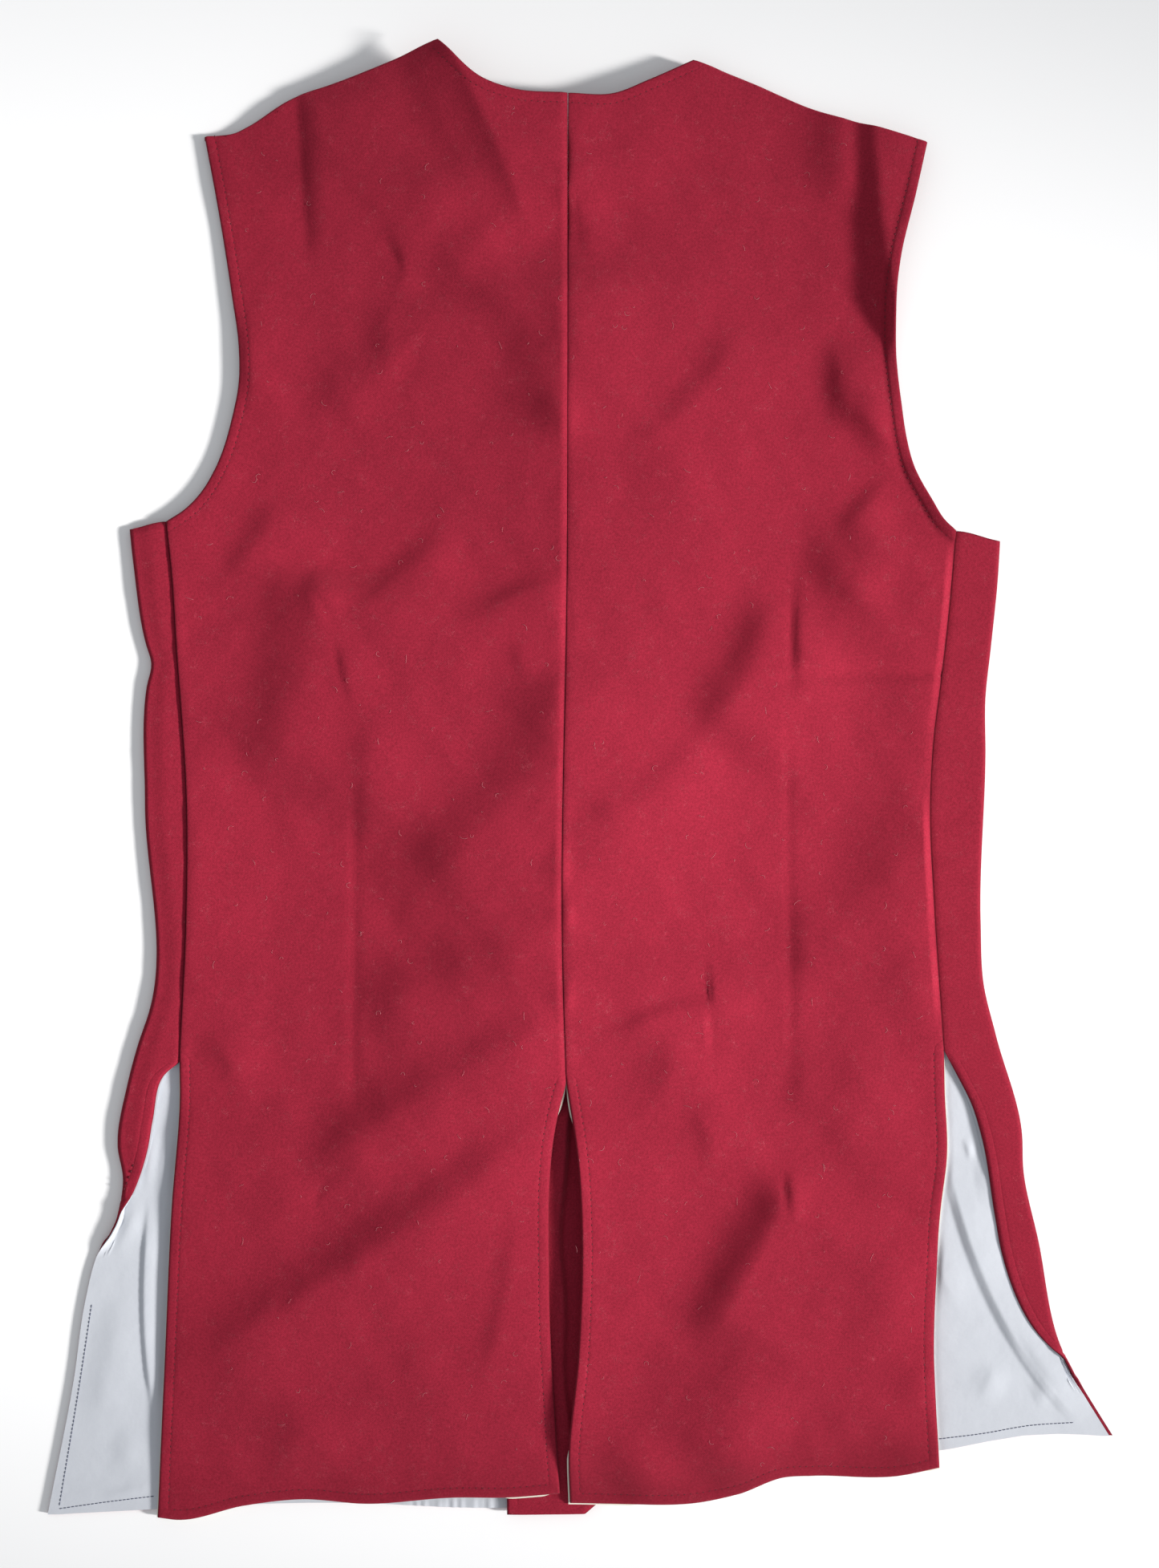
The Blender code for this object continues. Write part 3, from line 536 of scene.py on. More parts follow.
# The folds of the back: a crest from (x0, y0) by (x1, y1) to (x2, y2), the widths of its flanks
# to the left and to the right, its height, and where its left flank is steepest: halfway down at 0,
# at the crest at 1 and at the foot at -1
Fold = namedtuple("Fold", "x0 y0 x1 y1 x2 y2 left right height sharp", defaults=(0,))
FOLDS = [
    # Left half, from the shoulder down
    Fold(-0.157, 0.424, -0.153, 0.372, -0.149, 0.299, 0.009, 0.050, 0.0030, -1),
    Fold(-0.157, 0.459, -0.154, 0.401, -0.151, 0.329, 0.058, 0.060, 0.0030),
    Fold(-0.086, 0.502, -0.084, 0.415, -0.090, 0.310, 0.070, 0.050, 0.0060),
    Fold(-0.078, 0.372, -0.082, 0.338, -0.082, 0.286, 0.040, 0.030, 0.0032),
    Fold(-0.086, 0.459, -0.063, 0.406, -0.035, 0.348, 0.055, 0.110, 0.0026),
    Fold(-0.090, 0.459, -0.056, 0.395, -0.025, 0.319, 0.016, 0.110, 0.0082, 1),
    Fold(-0.007, 0.497, -0.007, 0.411, -0.007, 0.319, 0.070, 0.150, 0.0045),
    Fold(-0.011, 0.360, -0.010, 0.348, -0.010, 0.336, 0.005, 0.005, 0.0012),
    Fold(-0.118, 0.338, -0.106, 0.312, -0.112, 0.284, 0.005, 0.014, 0.0017),
    Fold(-0.085, 0.331, -0.061, 0.301, -0.016, 0.279, 0.014, 0.030, 0.0036),
    Fold(-0.010, 0.317, -0.010, 0.257, -0.010, 0.187, 0.032, 0.045, 0.0050),
    Fold(-0.027, 0.243, -0.012, 0.220, -0.004, 0.199, 0.012, 0.010, 0.0026),
    Fold(-0.155, 0.264, -0.141, 0.233, -0.115, 0.213, 0.012, 0.036, 0.0028),
    Fold(-0.113, 0.295, -0.111, 0.257, -0.107, 0.199, 0.014, 0.050, 0.0026),
    Fold(-0.198, 0.293, -0.196, 0.252, -0.196, 0.218, 0.006, 0.020, 0.0020),
    Fold(-0.177, 0.174, -0.189, 0.142, -0.222, 0.104, 0.013, 0.036, 0.0036),
    Fold(-0.194, 0.104, -0.209, 0.091, -0.233, 0.078, 0.007, 0.016, 0.0012),
    Fold(-0.154, 0.132, -0.156, 0.114, -0.153, 0.095, 0.008, 0.018, 0.0020),
    Fold(-0.143, 0.132, -0.158, 0.067, -0.191, -0.011, 0.035, 0.150, 0.0092),
    Fold(-0.068, 0.149, -0.102, 0.124, -0.137, 0.093, 0.010, 0.026, 0.0025),
    Fold(-0.006, 0.116, -0.033, 0.109, -0.084, 0.087, 0.008, 0.020, 0.0023),
    Fold(-0.144, 0.089, -0.140, 0.065, -0.133, 0.039, 0.004, 0.012, 0.0011, 1),
    Fold(-0.126, 0.046, -0.124, -0.002, -0.127, -0.048, 0.010, 0.020, 0.0018),
    Fold(-0.035, 0.091, -0.034, 0.070, -0.025, 0.059, 0.005, 0.009, 0.0010),
    Fold(-0.006, 0.079, -0.029, -0.002, -0.118, -0.082, 0.027, 0.070, 0.0065),
    Fold(-0.084, -0.012, -0.086, -0.031, -0.093, -0.053, 0.010, 0.015, 0.0007),
    Fold(-0.092, -0.062, -0.100, -0.079, -0.113, -0.090, 0.009, 0.014, 0.0008),
    Fold(-0.009, -0.092, -0.074, -0.117, -0.130, -0.137, 0.018, 0.030, 0.0026),
    Fold(-0.012, -0.031, -0.011, -0.050, -0.012, -0.068, 0.010, 0.004, 0.0014),
    Fold(-0.010, -0.069, -0.008, -0.080, -0.011, -0.091, 0.009, 0.004, 0.0014),
    Fold(-0.010, -0.114, -0.008, -0.128, -0.012, -0.144, 0.010, 0.004, 0.0014),
    Fold(-0.004, -0.142, -0.085, -0.185, -0.169, -0.241, 0.017, 0.034, 0.0042),
    Fold(-0.154, -0.244, -0.174, -0.247, -0.202, -0.253, 0.013, 0.020, 0.0009),
    Fold(-0.004, -0.196, -0.121, -0.281, -0.244, -0.358, 0.018, 0.042, 0.0056),
    Fold(-0.112, -0.170, -0.107, -0.290, -0.107, -0.449, 0.150, 0.080, 0.0045),
    Fold(-0.131, -0.270, -0.132, -0.285, -0.137, -0.303, 0.006, 0.012, 0.0006),
    Fold(-0.162, -0.290, -0.165, -0.307, -0.172, -0.327, 0.008, 0.014, 0.0009),
    Fold(-0.157, -0.357, -0.165, -0.389, -0.174, -0.420, 0.015, 0.028, 0.0034),
    Fold(-0.034, -0.252, -0.043, -0.305, -0.056, -0.367, 0.008, 0.030, 0.0019),
    Fold(-0.088, -0.326, -0.098, -0.348, -0.108, -0.373, 0.008, 0.022, 0.0010),
    Fold(-0.234, -0.152, -0.209, -0.164, -0.203, -0.196, 0.008, 0.014, 0.0024),
    # Right half, from the shoulder down
    Fold(0.154, 0.438, 0.155, 0.387, 0.159, 0.336, 0.015, 0.010, 0.0044),
    Fold(0.175, 0.439, 0.182, 0.339, 0.195, 0.252, 0.012, 0.075, 0.0100),
    Fold(0.032, 0.408, 0.033, 0.391, 0.030, 0.372, 0.014, 0.020, 0.0015),
    Fold(-0.001, 0.360, 0.003, 0.336, 0.010, 0.305, 0.005, 0.014, 0.0013),
    Fold(0.154, 0.271, 0.159, 0.236, 0.162, 0.201, 0.010, 0.026, 0.0058),
    Fold(0.154, 0.222, 0.176, 0.215, 0.195, 0.186, 0.010, 0.022, 0.0070),
    Fold(0.193, 0.191, 0.172, 0.164, 0.152, 0.147, 0.007, 0.016, 0.0030),
    Fold(0.205, 0.156, 0.181, 0.121, 0.142, 0.089, 0.034, 0.060, 0.0050),
    Fold(0.128, 0.140, 0.161, 0.128, 0.192, 0.107, 0.013, 0.026, 0.0038, -1),
    Fold(0.097, 0.278, 0.071, 0.227, 0.017, 0.188, 0.012, 0.060, 0.0030),
    Fold(0.139, 0.132, 0.134, 0.086, 0.136, 0.041, 0.006, 0.024, 0.0019, -1),
    Fold(0.125, 0.118, 0.102, 0.063, 0.075, 0.018, 0.018, 0.058, 0.0072),
    Fold(0.083, 0.032, 0.046, -0.007, -0.011, -0.037, 0.014, 0.030, 0.0030),
    Fold(0.225, -0.012, 0.185, -0.064, 0.140, -0.122, 0.026, 0.036, 0.0038),
    Fold(0.137, -0.060, 0.137, -0.098, 0.134, -0.138, 0.010, 0.022, 0.0018),
    Fold(0.205, -0.089, 0.201, -0.117, 0.212, -0.152, 0.018, 0.026, 0.0038),
    Fold(0.109, -0.143, 0.061, -0.136, 0.006, -0.162, 0.006, 0.020, 0.0024),
    Fold(0.196, -0.166, 0.162, -0.187, 0.134, -0.214, 0.020, 0.034, 0.0030),
    Fold(0.136, -0.150, 0.134, -0.180, 0.131, -0.207, 0.008, 0.014, 0.0014),
    Fold(0.068, -0.144, 0.055, -0.173, 0.054, -0.209, 0.013, 0.026, 0.0034),
    Fold(0.057, -0.188, 0.077, -0.206, 0.079, -0.240, 0.008, 0.022, 0.0024),
    Fold(0.133, -0.229, 0.106, -0.287, 0.071, -0.343, 0.019, 0.140, 0.0096),
    Fold(0.125, -0.226, 0.127, -0.245, 0.128, -0.270, 0.005, 0.008, 0.0014),
    Fold(0.112, -0.336, 0.096, -0.380, 0.077, -0.426, 0.040, 0.040, 0.0090),
    Fold(0.138, -0.371, 0.140, -0.391, 0.142, -0.414, 0.010, 0.030, 0.0016),
    Fold(0.210, -0.341, 0.202, -0.360, 0.187, -0.376, 0.013, 0.012, 0.0018),
    Fold(0.186, -0.269, 0.181, -0.309, 0.173, -0.350, 0.020, 0.020, 0.0020),
    Fold(0.051, -0.384, 0.037, -0.407, 0.017, -0.427, 0.026, 0.024, 0.0050),
]

# Fine pressed creases: a line through three points, its width, and its height, below 0 for a trough
Crease = namedtuple("Crease", "x0 y0 x1 y1 x2 y2 width height")
CREASES = [
    Crease(-0.1217, 0.3266, -0.1087, 0.3108, -0.1121, 0.2954, 0.0028, -0.0009),
    Crease(-0.1471, 0.0886, -0.1438, 0.0674, -0.1370, 0.0414, 0.0020, -0.0009),
    Crease(-0.1349, 0.0130, -0.1353, -0.1000, -0.1358, -0.2114, 0.0030, -0.0005),
    Crease(-0.1358, -0.2280, -0.1560, -0.2440, -0.1557, -0.2592, 0.0025, -0.0006),
    Crease(0.1289, 0.1200, 0.1262, 0.0870, 0.1285, 0.0540, 0.0022, -0.0012),
    Crease(0.1236, 0.0588, 0.1250, -0.0800, 0.1270, -0.1797, 0.0030, -0.0005),
    Crease(0.1207, -0.2302, 0.1224, -0.2460, 0.1236, -0.2628, 0.0022, -0.0014),
    Crease(0.1080, 0.0600, 0.1700, 0.0650, 0.2330, 0.0636, 0.0034, -0.0022),
    Crease(-0.1640, 0.1188, -0.1534, 0.1054, -0.1438, 0.0881, 0.0025, -0.0008),
    Crease(-0.0622, 0.1020, -0.0400, 0.1120, -0.0103, 0.1198, 0.0030, 0.0007),
]

# Where the linings' hems and side are stitched, seen from above
LINING_STITCHES = {
    "left": [
        [(-0.2930, -0.3130), (-0.2993, -0.3550), (-0.3127, -0.4356)],
        [(-0.3127, -0.4356), (-0.2860, -0.4318), (-0.2546, -0.4279)],
    ],
    "right": [[(0.2148, -0.3938), (0.2412, -0.3905), (0.2695, -0.3857), (0.2969, -0.3838)]],
}

# The folds of the linings where they show, each a row like those of the back
LINING_CREASES = {
    "left": [
        Fold(-0.2575, -0.2470, -0.2614, -0.3190, -0.2542, -0.3823, 0.0016, 0.0090, 0.0015),
        Fold(-0.2532, -0.2062, -0.2580, -0.2230, -0.2590, -0.2470, 0.0030, 0.0060, 0.0011),
        Fold(-0.2455, -0.2038, -0.2494, -0.2278, -0.2513, -0.2518, 0.0030, 0.0050, 0.0009),
        Fold(-0.2657, -0.2470, -0.2705, -0.2662, -0.2801, -0.2878, 0.0040, 0.0060, 0.0008),
        Fold(-0.2705, -0.2998, -0.2801, -0.3478, -0.2906, -0.3958, 0.0100, 0.0160, 0.0010),
        Fold(-0.2561, -0.4236, -0.2705, -0.4255, -0.2897, -0.4284, 0.0030, 0.0030, 0.0005),
        Fold(-0.2753, -0.3862, -0.2714, -0.4015, -0.2753, -0.4198, 0.0080, 0.0080, 0.0007),
    ],
    "right": [
        Fold(0.2196, -0.2200, 0.2498, -0.3132, 0.3020, -0.3850, 0.0024, 0.0340, 0.0022, 1),
        Fold(0.2556, -0.3228, 0.2710, -0.3497, 0.2940, -0.3785, 0.0020, 0.0040, -0.0007),
        Fold(0.2143, -0.2662, 0.2172, -0.2950, 0.2364, -0.3247, 0.0060, 0.0240, 0.0012, 1),
        Fold(0.2527, -0.3458, 0.2450, -0.3593, 0.2383, -0.3746, 0.0050, 0.0090, 0.0010, 1),
        Fold(0.2719, -0.3554, 0.2767, -0.3660, 0.2825, -0.3727, 0.0030, 0.0060, 0.0008, 1),
        Fold(0.2297, -0.2124, 0.2326, -0.2201, 0.2340, -0.2278, 0.0016, 0.0030, 0.0007),
        Fold(0.2402, -0.2182, 0.2431, -0.2374, 0.2460, -0.2566, 0.0030, 0.0060, 0.0007, 1),
    ],
}


def rise(t):
    """A smooth step: 0 up to t = 0 and 1 from t = 1."""
    t = np.clip(t, 0, 1)
    return t * t * (3 - 2 * t)


def bell(offset, width):
    """A bell curve: 1 at no offset, falling to e^-1 at one width."""
    return np.exp(-((offset / width) ** 2))


def between(value, low, high, fade):
    """1 between two levels, falling to 0 at each over a given length."""
    return rise((value - low) / fade) * rise((high - value) / fade)


def along(points, shares):
    """Points of the smooth curve through an outline's rows, at shares of its length."""
    p = np.array(points, float)
    step = np.linalg.norm(np.diff(p, axis=0), axis=1)
    at = np.concatenate([[0], np.cumsum(step)])
    chord = np.diff(p, axis=0) / step[:, None]
    before = step[:-1, None]
    after = step[1:, None]
    inner = (chord[:-1] * after + chord[1:] * before) / (before + after)
    tangent = np.concatenate([chord[:1], inner, chord[-1:]])
    where = np.clip(np.asarray(shares, float), 0, 1) * at[-1]
    i = np.clip(np.searchsorted(at, where, side="right") - 1, 0, len(step) - 1)
    h = step[i][:, None]
    t = ((where - at[i]) / step[i])[:, None]
    return (
        (1 + 2 * t) * (1 - t) ** 2 * p[i]
        + t * (1 - t) ** 2 * h * tangent[i]
        + t * t * (3 - 2 * t) * p[i + 1]
        + t * t * (t - 1) * h * tangent[i + 1]
    )


def evenly(points, cells):
    return along(points, np.linspace(0, 1, cells + 1))


def x_at(points, levels):
    """The x of an outline that runs down the garment, at given levels y."""
    curve = evenly(points, OUTLINE_CELLS)[::-1]
    return np.interp(levels, curve[:, 1], curve[:, 0])


def y_at(points, places):
    """The y of an outline that runs across the garment, at given x."""
    curve = evenly(points, OUTLINE_CELLS)
    curve = curve[np.argsort(curve[:, 0])]
    return np.interp(places, curve[:, 0], curve[:, 1])


def joined(*curves):
    """Curves that follow each other, as one row of points, shares or levels."""
    return np.concatenate([curves[0]] + [curve[1:] for curve in curves[1:]])


def away_from(points, x, y):
    """The distance of each place from an outline."""
    line = evenly(points, EDGE_CELLS)
    nearest = np.full(np.shape(x), np.inf)
    for a, b in zip(line[:-1], line[1:]):
        way = b - a
        t = np.clip(((x - a[0]) * way[0] + (y - a[1]) * way[1]) / (way @ way), 0, 1)
        nearest = np.minimum(nearest, np.hypot(x - a[0] - t * way[0], y - a[1] - t * way[1]))
    return nearest


def patch(top, bottom, inner, outer, pull, down):
    """A grid of plan points between four sides, rows from the top down.

    It is the straight spread between top and bottom, plus the bend of the inner and outer sides:
    pull says for each column how much of the outer side's bend it follows, and down is how far down
    each row is.
    """
    down = np.asarray(down)[:, None, None]
    straight = (1 - down) * top[None] + down * bottom[None]
    inner_bend = inner - ((1 - down[:, 0]) * inner[0] + down[:, 0] * inner[-1])
    outer_bend = outer - ((1 - down[:, 0]) * outer[0] + down[:, 0] * outer[-1])
    pull = np.asarray(pull)[None, :, None]
    return straight + (1 - pull) * inner_bend[:, None] + pull * outer_bend[:, None]


def skirt_share(y):
    """1 where the skirts are lined, 0 above, with a soft change between."""
    return rise((SKIRT_START_LEVEL - y) / (SKIRT_START_LEVEL - SKIRT_FULL_LEVEL))


def turn_radius(y):
    return TURN_RADIUS + (LINED_TURN_RADIUS - TURN_RADIUS) * skirt_share(y)


def overlap_lift(y):
    """How far the right front is lifted where it lies over the left one."""
    return WOOL + GAP + skirt_share(y) * (LINING + GAP)


def support(x, y):
    """The height of what the back's wool lies on, with the gap to it."""
    low, high = OVERLAP_PLATEAU
    over = rise((x - low + OVERLAP_FALL[0]) / OVERLAP_FALL[0])
    over = over * (1 - rise((x - high) / OVERLAP_FALL[1]))
    skirt = skirt_share(y)
    linings = skirt * 2 * (LINING + GAP)
    facing = skirt * over * (WOOL - LINING)
    return GAP + WOOL + over * overlap_lift(y) + linings + facing


def side_rise(x, y, seam):
    """How far the back climbs to the side seam, where the front comes round the side."""
    inside = np.abs(x_at(seam, y) - x)
    top, vent = seam[0][1], seam[-1][1]
    levels = rise((y - vent + VENT_FADE) / VENT_FADE) * rise((top + UNDERARM_FADE - y) / UNDERARM_FADE)
    near = rise(1 - inside / SIDE_RISE_WIDTH)
    return near * levels * (2 * turn_radius(y) - support(x, y))


def bent_line(mark):
    """Points of the bent line through a fold's three points, and how far along each one is."""
    t = np.linspace(0, 1, FOLD_SAMPLES)
    start = np.array([mark.x0, mark.y0])
    middle = np.array([mark.x1, mark.y1])
    end = np.array([mark.x2, mark.y2])
    control = 2 * middle - (start + end) / 2
    line = np.outer((1 - t) ** 2, start) + np.outer(2 * t * (1 - t), control) + np.outer(t * t, end)
    return t, line


def from_line(mark, x, y):
    """The distance of each place from a fold's line, on which side it is, and how far along."""
    t, line = bent_line(mark)
    best = np.full(np.shape(x), np.inf)
    side = np.zeros(np.shape(x))
    share = np.zeros(np.shape(x))
    for k in range(len(t) - 1):
        way = line[k + 1] - line[k]
        to_x = x - line[k, 0]
        to_y = y - line[k, 1]
        s = np.clip((to_x * way[0] + to_y * way[1]) / (way @ way), 0, 1)
        off_x = to_x - s * way[0]
        off_y = to_y - s * way[1]
        off = np.hypot(off_x, off_y)
        closer = off < best
        right = np.array([-way[1], way[0]])
        right = right if right[0] > 0 else -right
        side = np.where(closer, off_x * right[0] + off_y * right[1], side)
        share = np.where(closer, t[k] + s * (t[k + 1] - t[k]), share)
        best = np.where(closer, off, best)
    return best, side, share


def tapered(share, length):
    """1 along a fold of a given length, falling to 0 towards its two ends."""
    taper = np.clip(TAPER_LENGTH / length, *TAPER_SHARES)
    return rise(np.minimum(share, 1 - share) / taper)


def flank(off, width, sharp):
    """How a fold's left flank falls off: a bell, or sharpest at the crest, or down to a corner."""
    if sharp > 0:
        crest = np.exp((CREST_ROUND - np.hypot(off, CREST_ROUND)) / width)
        start, fade = FLANK_END
        return crest * (1 - rise((off / width - start) / fade))
    if sharp < 0:
        left_over = 1 - (off / (CORNER_REACH * width)) ** 2
        return (left_over + np.hypot(left_over, CORNER_ROUND)) / 2
    return bell(off, width)


def mark_heights(marks, x, y):
    """The heights of folds or creases together.

    A fold is a crest on a bent line, with a flank of its own width to each side. It is worked out
    only where its flanks reach.
    """
    total = np.zeros(np.shape(x))
    for mark in marks:
        left, right = (mark.left, mark.right) if isinstance(mark, Fold) else (mark.width, mark.width)
        reach = FLANK_REACH * max(left, right)
        _, line = bent_line(mark)
        low = line.min(axis=0) - reach
        high = line.max(axis=0) + reach
        near = (x > low[0]) & (x < high[0]) & (y > low[1]) & (y < high[1])
        off, side, share = from_line(mark, x[near], y[near])
        sharp = mark.sharp if isinstance(mark, Fold) else 0
        fall = np.where(side > 0, bell(off, right), flank(off, left, sharp))
        length = np.hypot(mark.x2 - mark.x0, mark.y2 - mark.y0)
        total[near] += mark.height * tapered(share, length) * fall
    return total


def dome(x, y):
    """The low broad rise of the back's middle, where the fronts lie over each other.

    It falls off from the seam as an exponential at the lower right and the upper left, and as a
    bell elsewhere.
    """
    offset = x - BACK_SEAM[0][0]
    away = np.hypot(offset, DOME_ROUND) - DOME_ROUND
    right = offset > 0
    steep = np.exp(-away / np.where(right, DOME_STEEP["right"], DOME_STEEP["left"]))
    rounded = bell(away, np.where(right, DOME_ROUNDED["right"], DOME_ROUNDED["left"]))
    change = {name: rise((y - level) / length) for name, (level, length) in DOME_CHANGE.items()}
    share = np.where(right, change["right"], 1 - change["left"])
    return DOME_HEIGHT * between(y, *DOME_LEVELS, DOME_FADE) * (steep + share * (rounded - steep))


def vent_lift(half, x, y):
    """How far the edge beside the middle vent stands up, less and less away from it.

    It falls off as a bell on the left half and as an exponential on the right one.
    """
    along_y = rise((half.vent[0][1] - y) / VENT_LIFT_START) * rise((y - VENT_LIFT_BOTTOM) / VENT_LIFT_END)
    away = np.abs(x - x_at(half.vent, y)) / VENT_LIFT_WIDTH[half.name]
    return VENT_LIFT[half.name] * along_y * (np.exp(-away) if half.side > 0 else bell(away, 1))


def uneven(x, y):
    """The slow waves of the cloth: sines in several directions, all bent by two more sines."""
    bend = sum(w.height * np.sin(w.right * x + w.up * y + w.start) for w in BENDS)
    return sum(w.height * np.sin(w.right * x + w.up * y + w.start + bend) for w in WAVES)


def rim_fall(d, width, depth):
    """How far a rounded rim falls, at distances d from it: a quarter of an ellipse."""
    edge = np.clip(1 - d / width, 0, 1)
    return depth * (1 - np.sqrt(1 - edge**2))


def stitched_edge(d):
    """The relief along a topstitched edge, at distances d from it.

    A rounded rim, half a sine as far as the stitches, and a bell-shaped valley under them.
    """
    inside = np.clip(d / STITCH_IN, 0, 1)
    roll = ROLL_HEIGHT * np.sin(np.pi * inside)
    return roll - VALLEY_DEPTH * bell(d - STITCH_IN, VALLEY_WIDTH) - rim_fall(d, RIM_WIDTH, RIM_DEPTH)


def seam_relief(d, y):
    """The relief at distances d from a seam: the cloth turns down into it, in small puckers."""
    turns = 2 * np.pi * y / PUCKER_PITCH + 2 * np.sin(y * PUCKER_BEND)
    puckers = PUCKER_HEIGHT * np.sin(turns) * bell(d, PUCKER_WIDTH)
    rim = rim_fall(d, SEAM_RIM_WIDTH, SEAM_RIM_DEPTH)
    return puckers - SEAM_DIP_DEPTH * bell(d, SEAM_DIP_WIDTH) - rim


def middle_seam_ridge(side, d, y):
    """The middle seam's turned edge: a low ridge on its left, and a fall to it on its right.

    Both fade away from it as an exponential, and swell and shrink along it in two waves.
    """
    coarse, fine = (2 * np.pi * y / pitch for pitch in SEAM_WAVE_PITCHES)
    waves = 1 + 0.25 * np.sin(coarse + 0.6) + 0.15 * np.sin(fine)
    if side < 0:
        return waves * SEAM_RIDGE * rise(d / SEAM_RIDGE_START) * np.exp(-d / SEAM_RIDGE_WIDTH)
    step = SEAM_STEP + SEAM_DEEP_STEP * between(y, *SEAM_DEEP_LEVELS, SEAM_DEEP_FADE)
    return -step * np.exp(-d / SEAM_STEP_WIDTH) * waves


def armhole_curl(half, d, y):
    """The right armhole's edge curls up outside its stitches, most of all under the arm."""
    if half.side < 0:
        return np.zeros_like(d)
    full, top = CURL_LEVELS
    along_y = rise((top - y) / CURL_FADE)
    along_y = along_y * (CURL_ABOVE + (1 - CURL_ABOVE) * rise((full - y) / CURL_FADE))
    outside = np.clip(1 - d / CURL_WIDTH, 0, 1)
    return CURL * along_y * outside * rise(3 * outside)


Half = namedtuple("Half", "name side neck shoulder armhole seam side_vent hem vent")
LEFT_HALF = Half(
    "left",
    -1,
    NECK_LEFT,
    SHOULDER_LEFT,
    ARMHOLE_LEFT,
    SIDE_SEAM_LEFT,
    SIDE_VENT_LEFT,
    HEM_LEFT,
    BACK_VENT_LEFT,
)
RIGHT_HALF = Half(
    "right",
    1,
    NECK_RIGHT,
    SHOULDER_RIGHT,
    ARMHOLE_RIGHT,
    SIDE_SEAM_RIGHT,
    SIDE_VENT_RIGHT,
    HEM_RIGHT,
    BACK_VENT_RIGHT,
)


def back_base(half, x, y):
    """The underside of the back's wool: on what it lies on, lifted by its folds and its loft."""
    calm = rise(np.abs(x_at(half.seam, y) - x) / SEAM_CALM)
    beside = (y < half.seam[0][1] + SEAM_CALM_END) & (y > half.seam[-1][1] - SEAM_CALM_END)
    calm = np.where(beside, calm, 1)
    lift = calm * mark_heights(FOLDS, x, y) + dome(x, y) + vent_lift(half, x, y)
    return support(x, y) + side_rise(x, y, half.seam) + lift


def back_edges(half, x, y):
    """The distances from the nearest stitched edge, and from the nearest seam."""
    stitched = [half.neck, half.armhole, half.side_vent, half.hem, half.vent]
    edge = np.minimum.reduce([away_from(line, x, y) for line in stitched])
    seam = np.minimum(away_from(BACK_SEAM, x, y), away_from(half.seam, x, y))
    return edge, seam


def back_top(half, x, y):
    """The upper side of the back's wool, with its underside and its distances from the edges.

    It is the underside, the wall, a loft that grows from the edges as one less an exponential, and
    the reliefs of creases, edges and seams.
    """
    base = back_base(half, x, y)
    edge, seam = back_edges(half, x, y)
    loft = LOFT * (1 - np.exp(-edge / LOFT_WIDTH))
    loft = loft + uneven(x, y) * rise(np.minimum(edge, seam) / UNEVEN_START)
    creases = mark_heights(CREASES, x, y)
    creases = creases + middle_seam_ridge(half.side, away_from(BACK_SEAM, x, y), y)
    creases = creases + armhole_curl(half, away_from(half.armhole, x, y), y)
    top = base + WOOL + loft + creases + stitched_edge(edge) + seam_relief(seam, y)
    under = base + np.minimum(loft, UNDERSIDE_LOFT) / 2
    return np.maximum(top, base + THINNEST), under, edge, seam


def across_row(points, towards):
    """For each point of a row, the unit direction across the row, on the side of a given way."""
    way = np.gradient(points, axis=0)
    across = np.stack([-way[:, 1], way[:, 0]], axis=1)
    across = across / np.linalg.norm(across, axis=1)[:, None]
    side = (np.array(towards) * across).sum(axis=1, keepdims=True)
    return across * np.where(side < 0, -1, 1)


def new_piece(name, points, faces, material):
    """A piece of one material with smooth faces, at the origin."""
    mesh = bpy.data.meshes.new(name)
    mesh.from_pydata(points, [], faces)
    mesh.shade_smooth()
    mesh.materials.append(material)
    piece = bpy.data.objects.new(name, mesh)
    bpy.context.scene.collection.objects.link(piece)
    return piece


def all_cells(grid):
    return np.ones((grid.shape[0] - 1, grid.shape[1] - 1), bool)


def make_wall(name, upper, lower, material, marks=None, kept=None):
    """A closed wall between two grids of points, over the kept cells or else all of them.

    Both grids give their faces, and the rim is made from the cell sides that only one cell has.
    """
    rows, columns = upper.shape[:2]
    number = np.arange(rows * columns).reshape(rows, columns)
    cells = np.stack([number[:-1, :-1], number[1:, :-1], number[1:, 1:], number[:-1, 1:]], axis=-1)
    cells = cells[all_cells(upper) if kept is None else kept]
    edges = np.concatenate([cells[:, [k, (k + 1) % 4]] for k in range(4)])
    _, first, uses = np.unique(np.sort(edges, axis=1), axis=0, return_index=True, return_counts=True)
    rim = edges[first[uses == 1]]
    total = rows * columns
    sides = np.stack([rim[:, 1], rim[:, 0], rim[:, 0] + total, rim[:, 1] + total], axis=1)
    faces = np.concatenate([cells, cells[:, ::-1] + total, sides])
    points = np.concatenate([upper.reshape(-1, 3), lower.reshape(-1, 3)])
    used, faces = np.unique(faces, return_inverse=True)
    points = points[used]
    faces = faces.reshape(-1, 4)
    corner = points[faces[:, :3]]
    if np.einsum("ij,ij->i", corner[:, 0], np.cross(corner[:, 1], corner[:, 2])).sum() < 0:
        faces = faces[:, ::-1]
    piece = new_piece(name, points.tolist(), faces.tolist(), material)
    piece.data.set_sharp_from_angle(angle=np.radians(SHARP_ANGLE))
    for mark, values in (marks or {}).items():
        both = np.concatenate([values.ravel(), values.ravel()])[used]
        layer = piece.data.attributes.new(mark, "FLOAT", "POINT")
        layer.data.foreach_set("value", both.astype(np.float32))
    return piece


def closer_to_end(length, cells):
    """Shares of a length whose last ones lie as close together as an edge needs."""
    near = 1 - NEAR_EDGE[::-1] / length
    return joined(np.linspace(0, near[0], cells + 1), near)


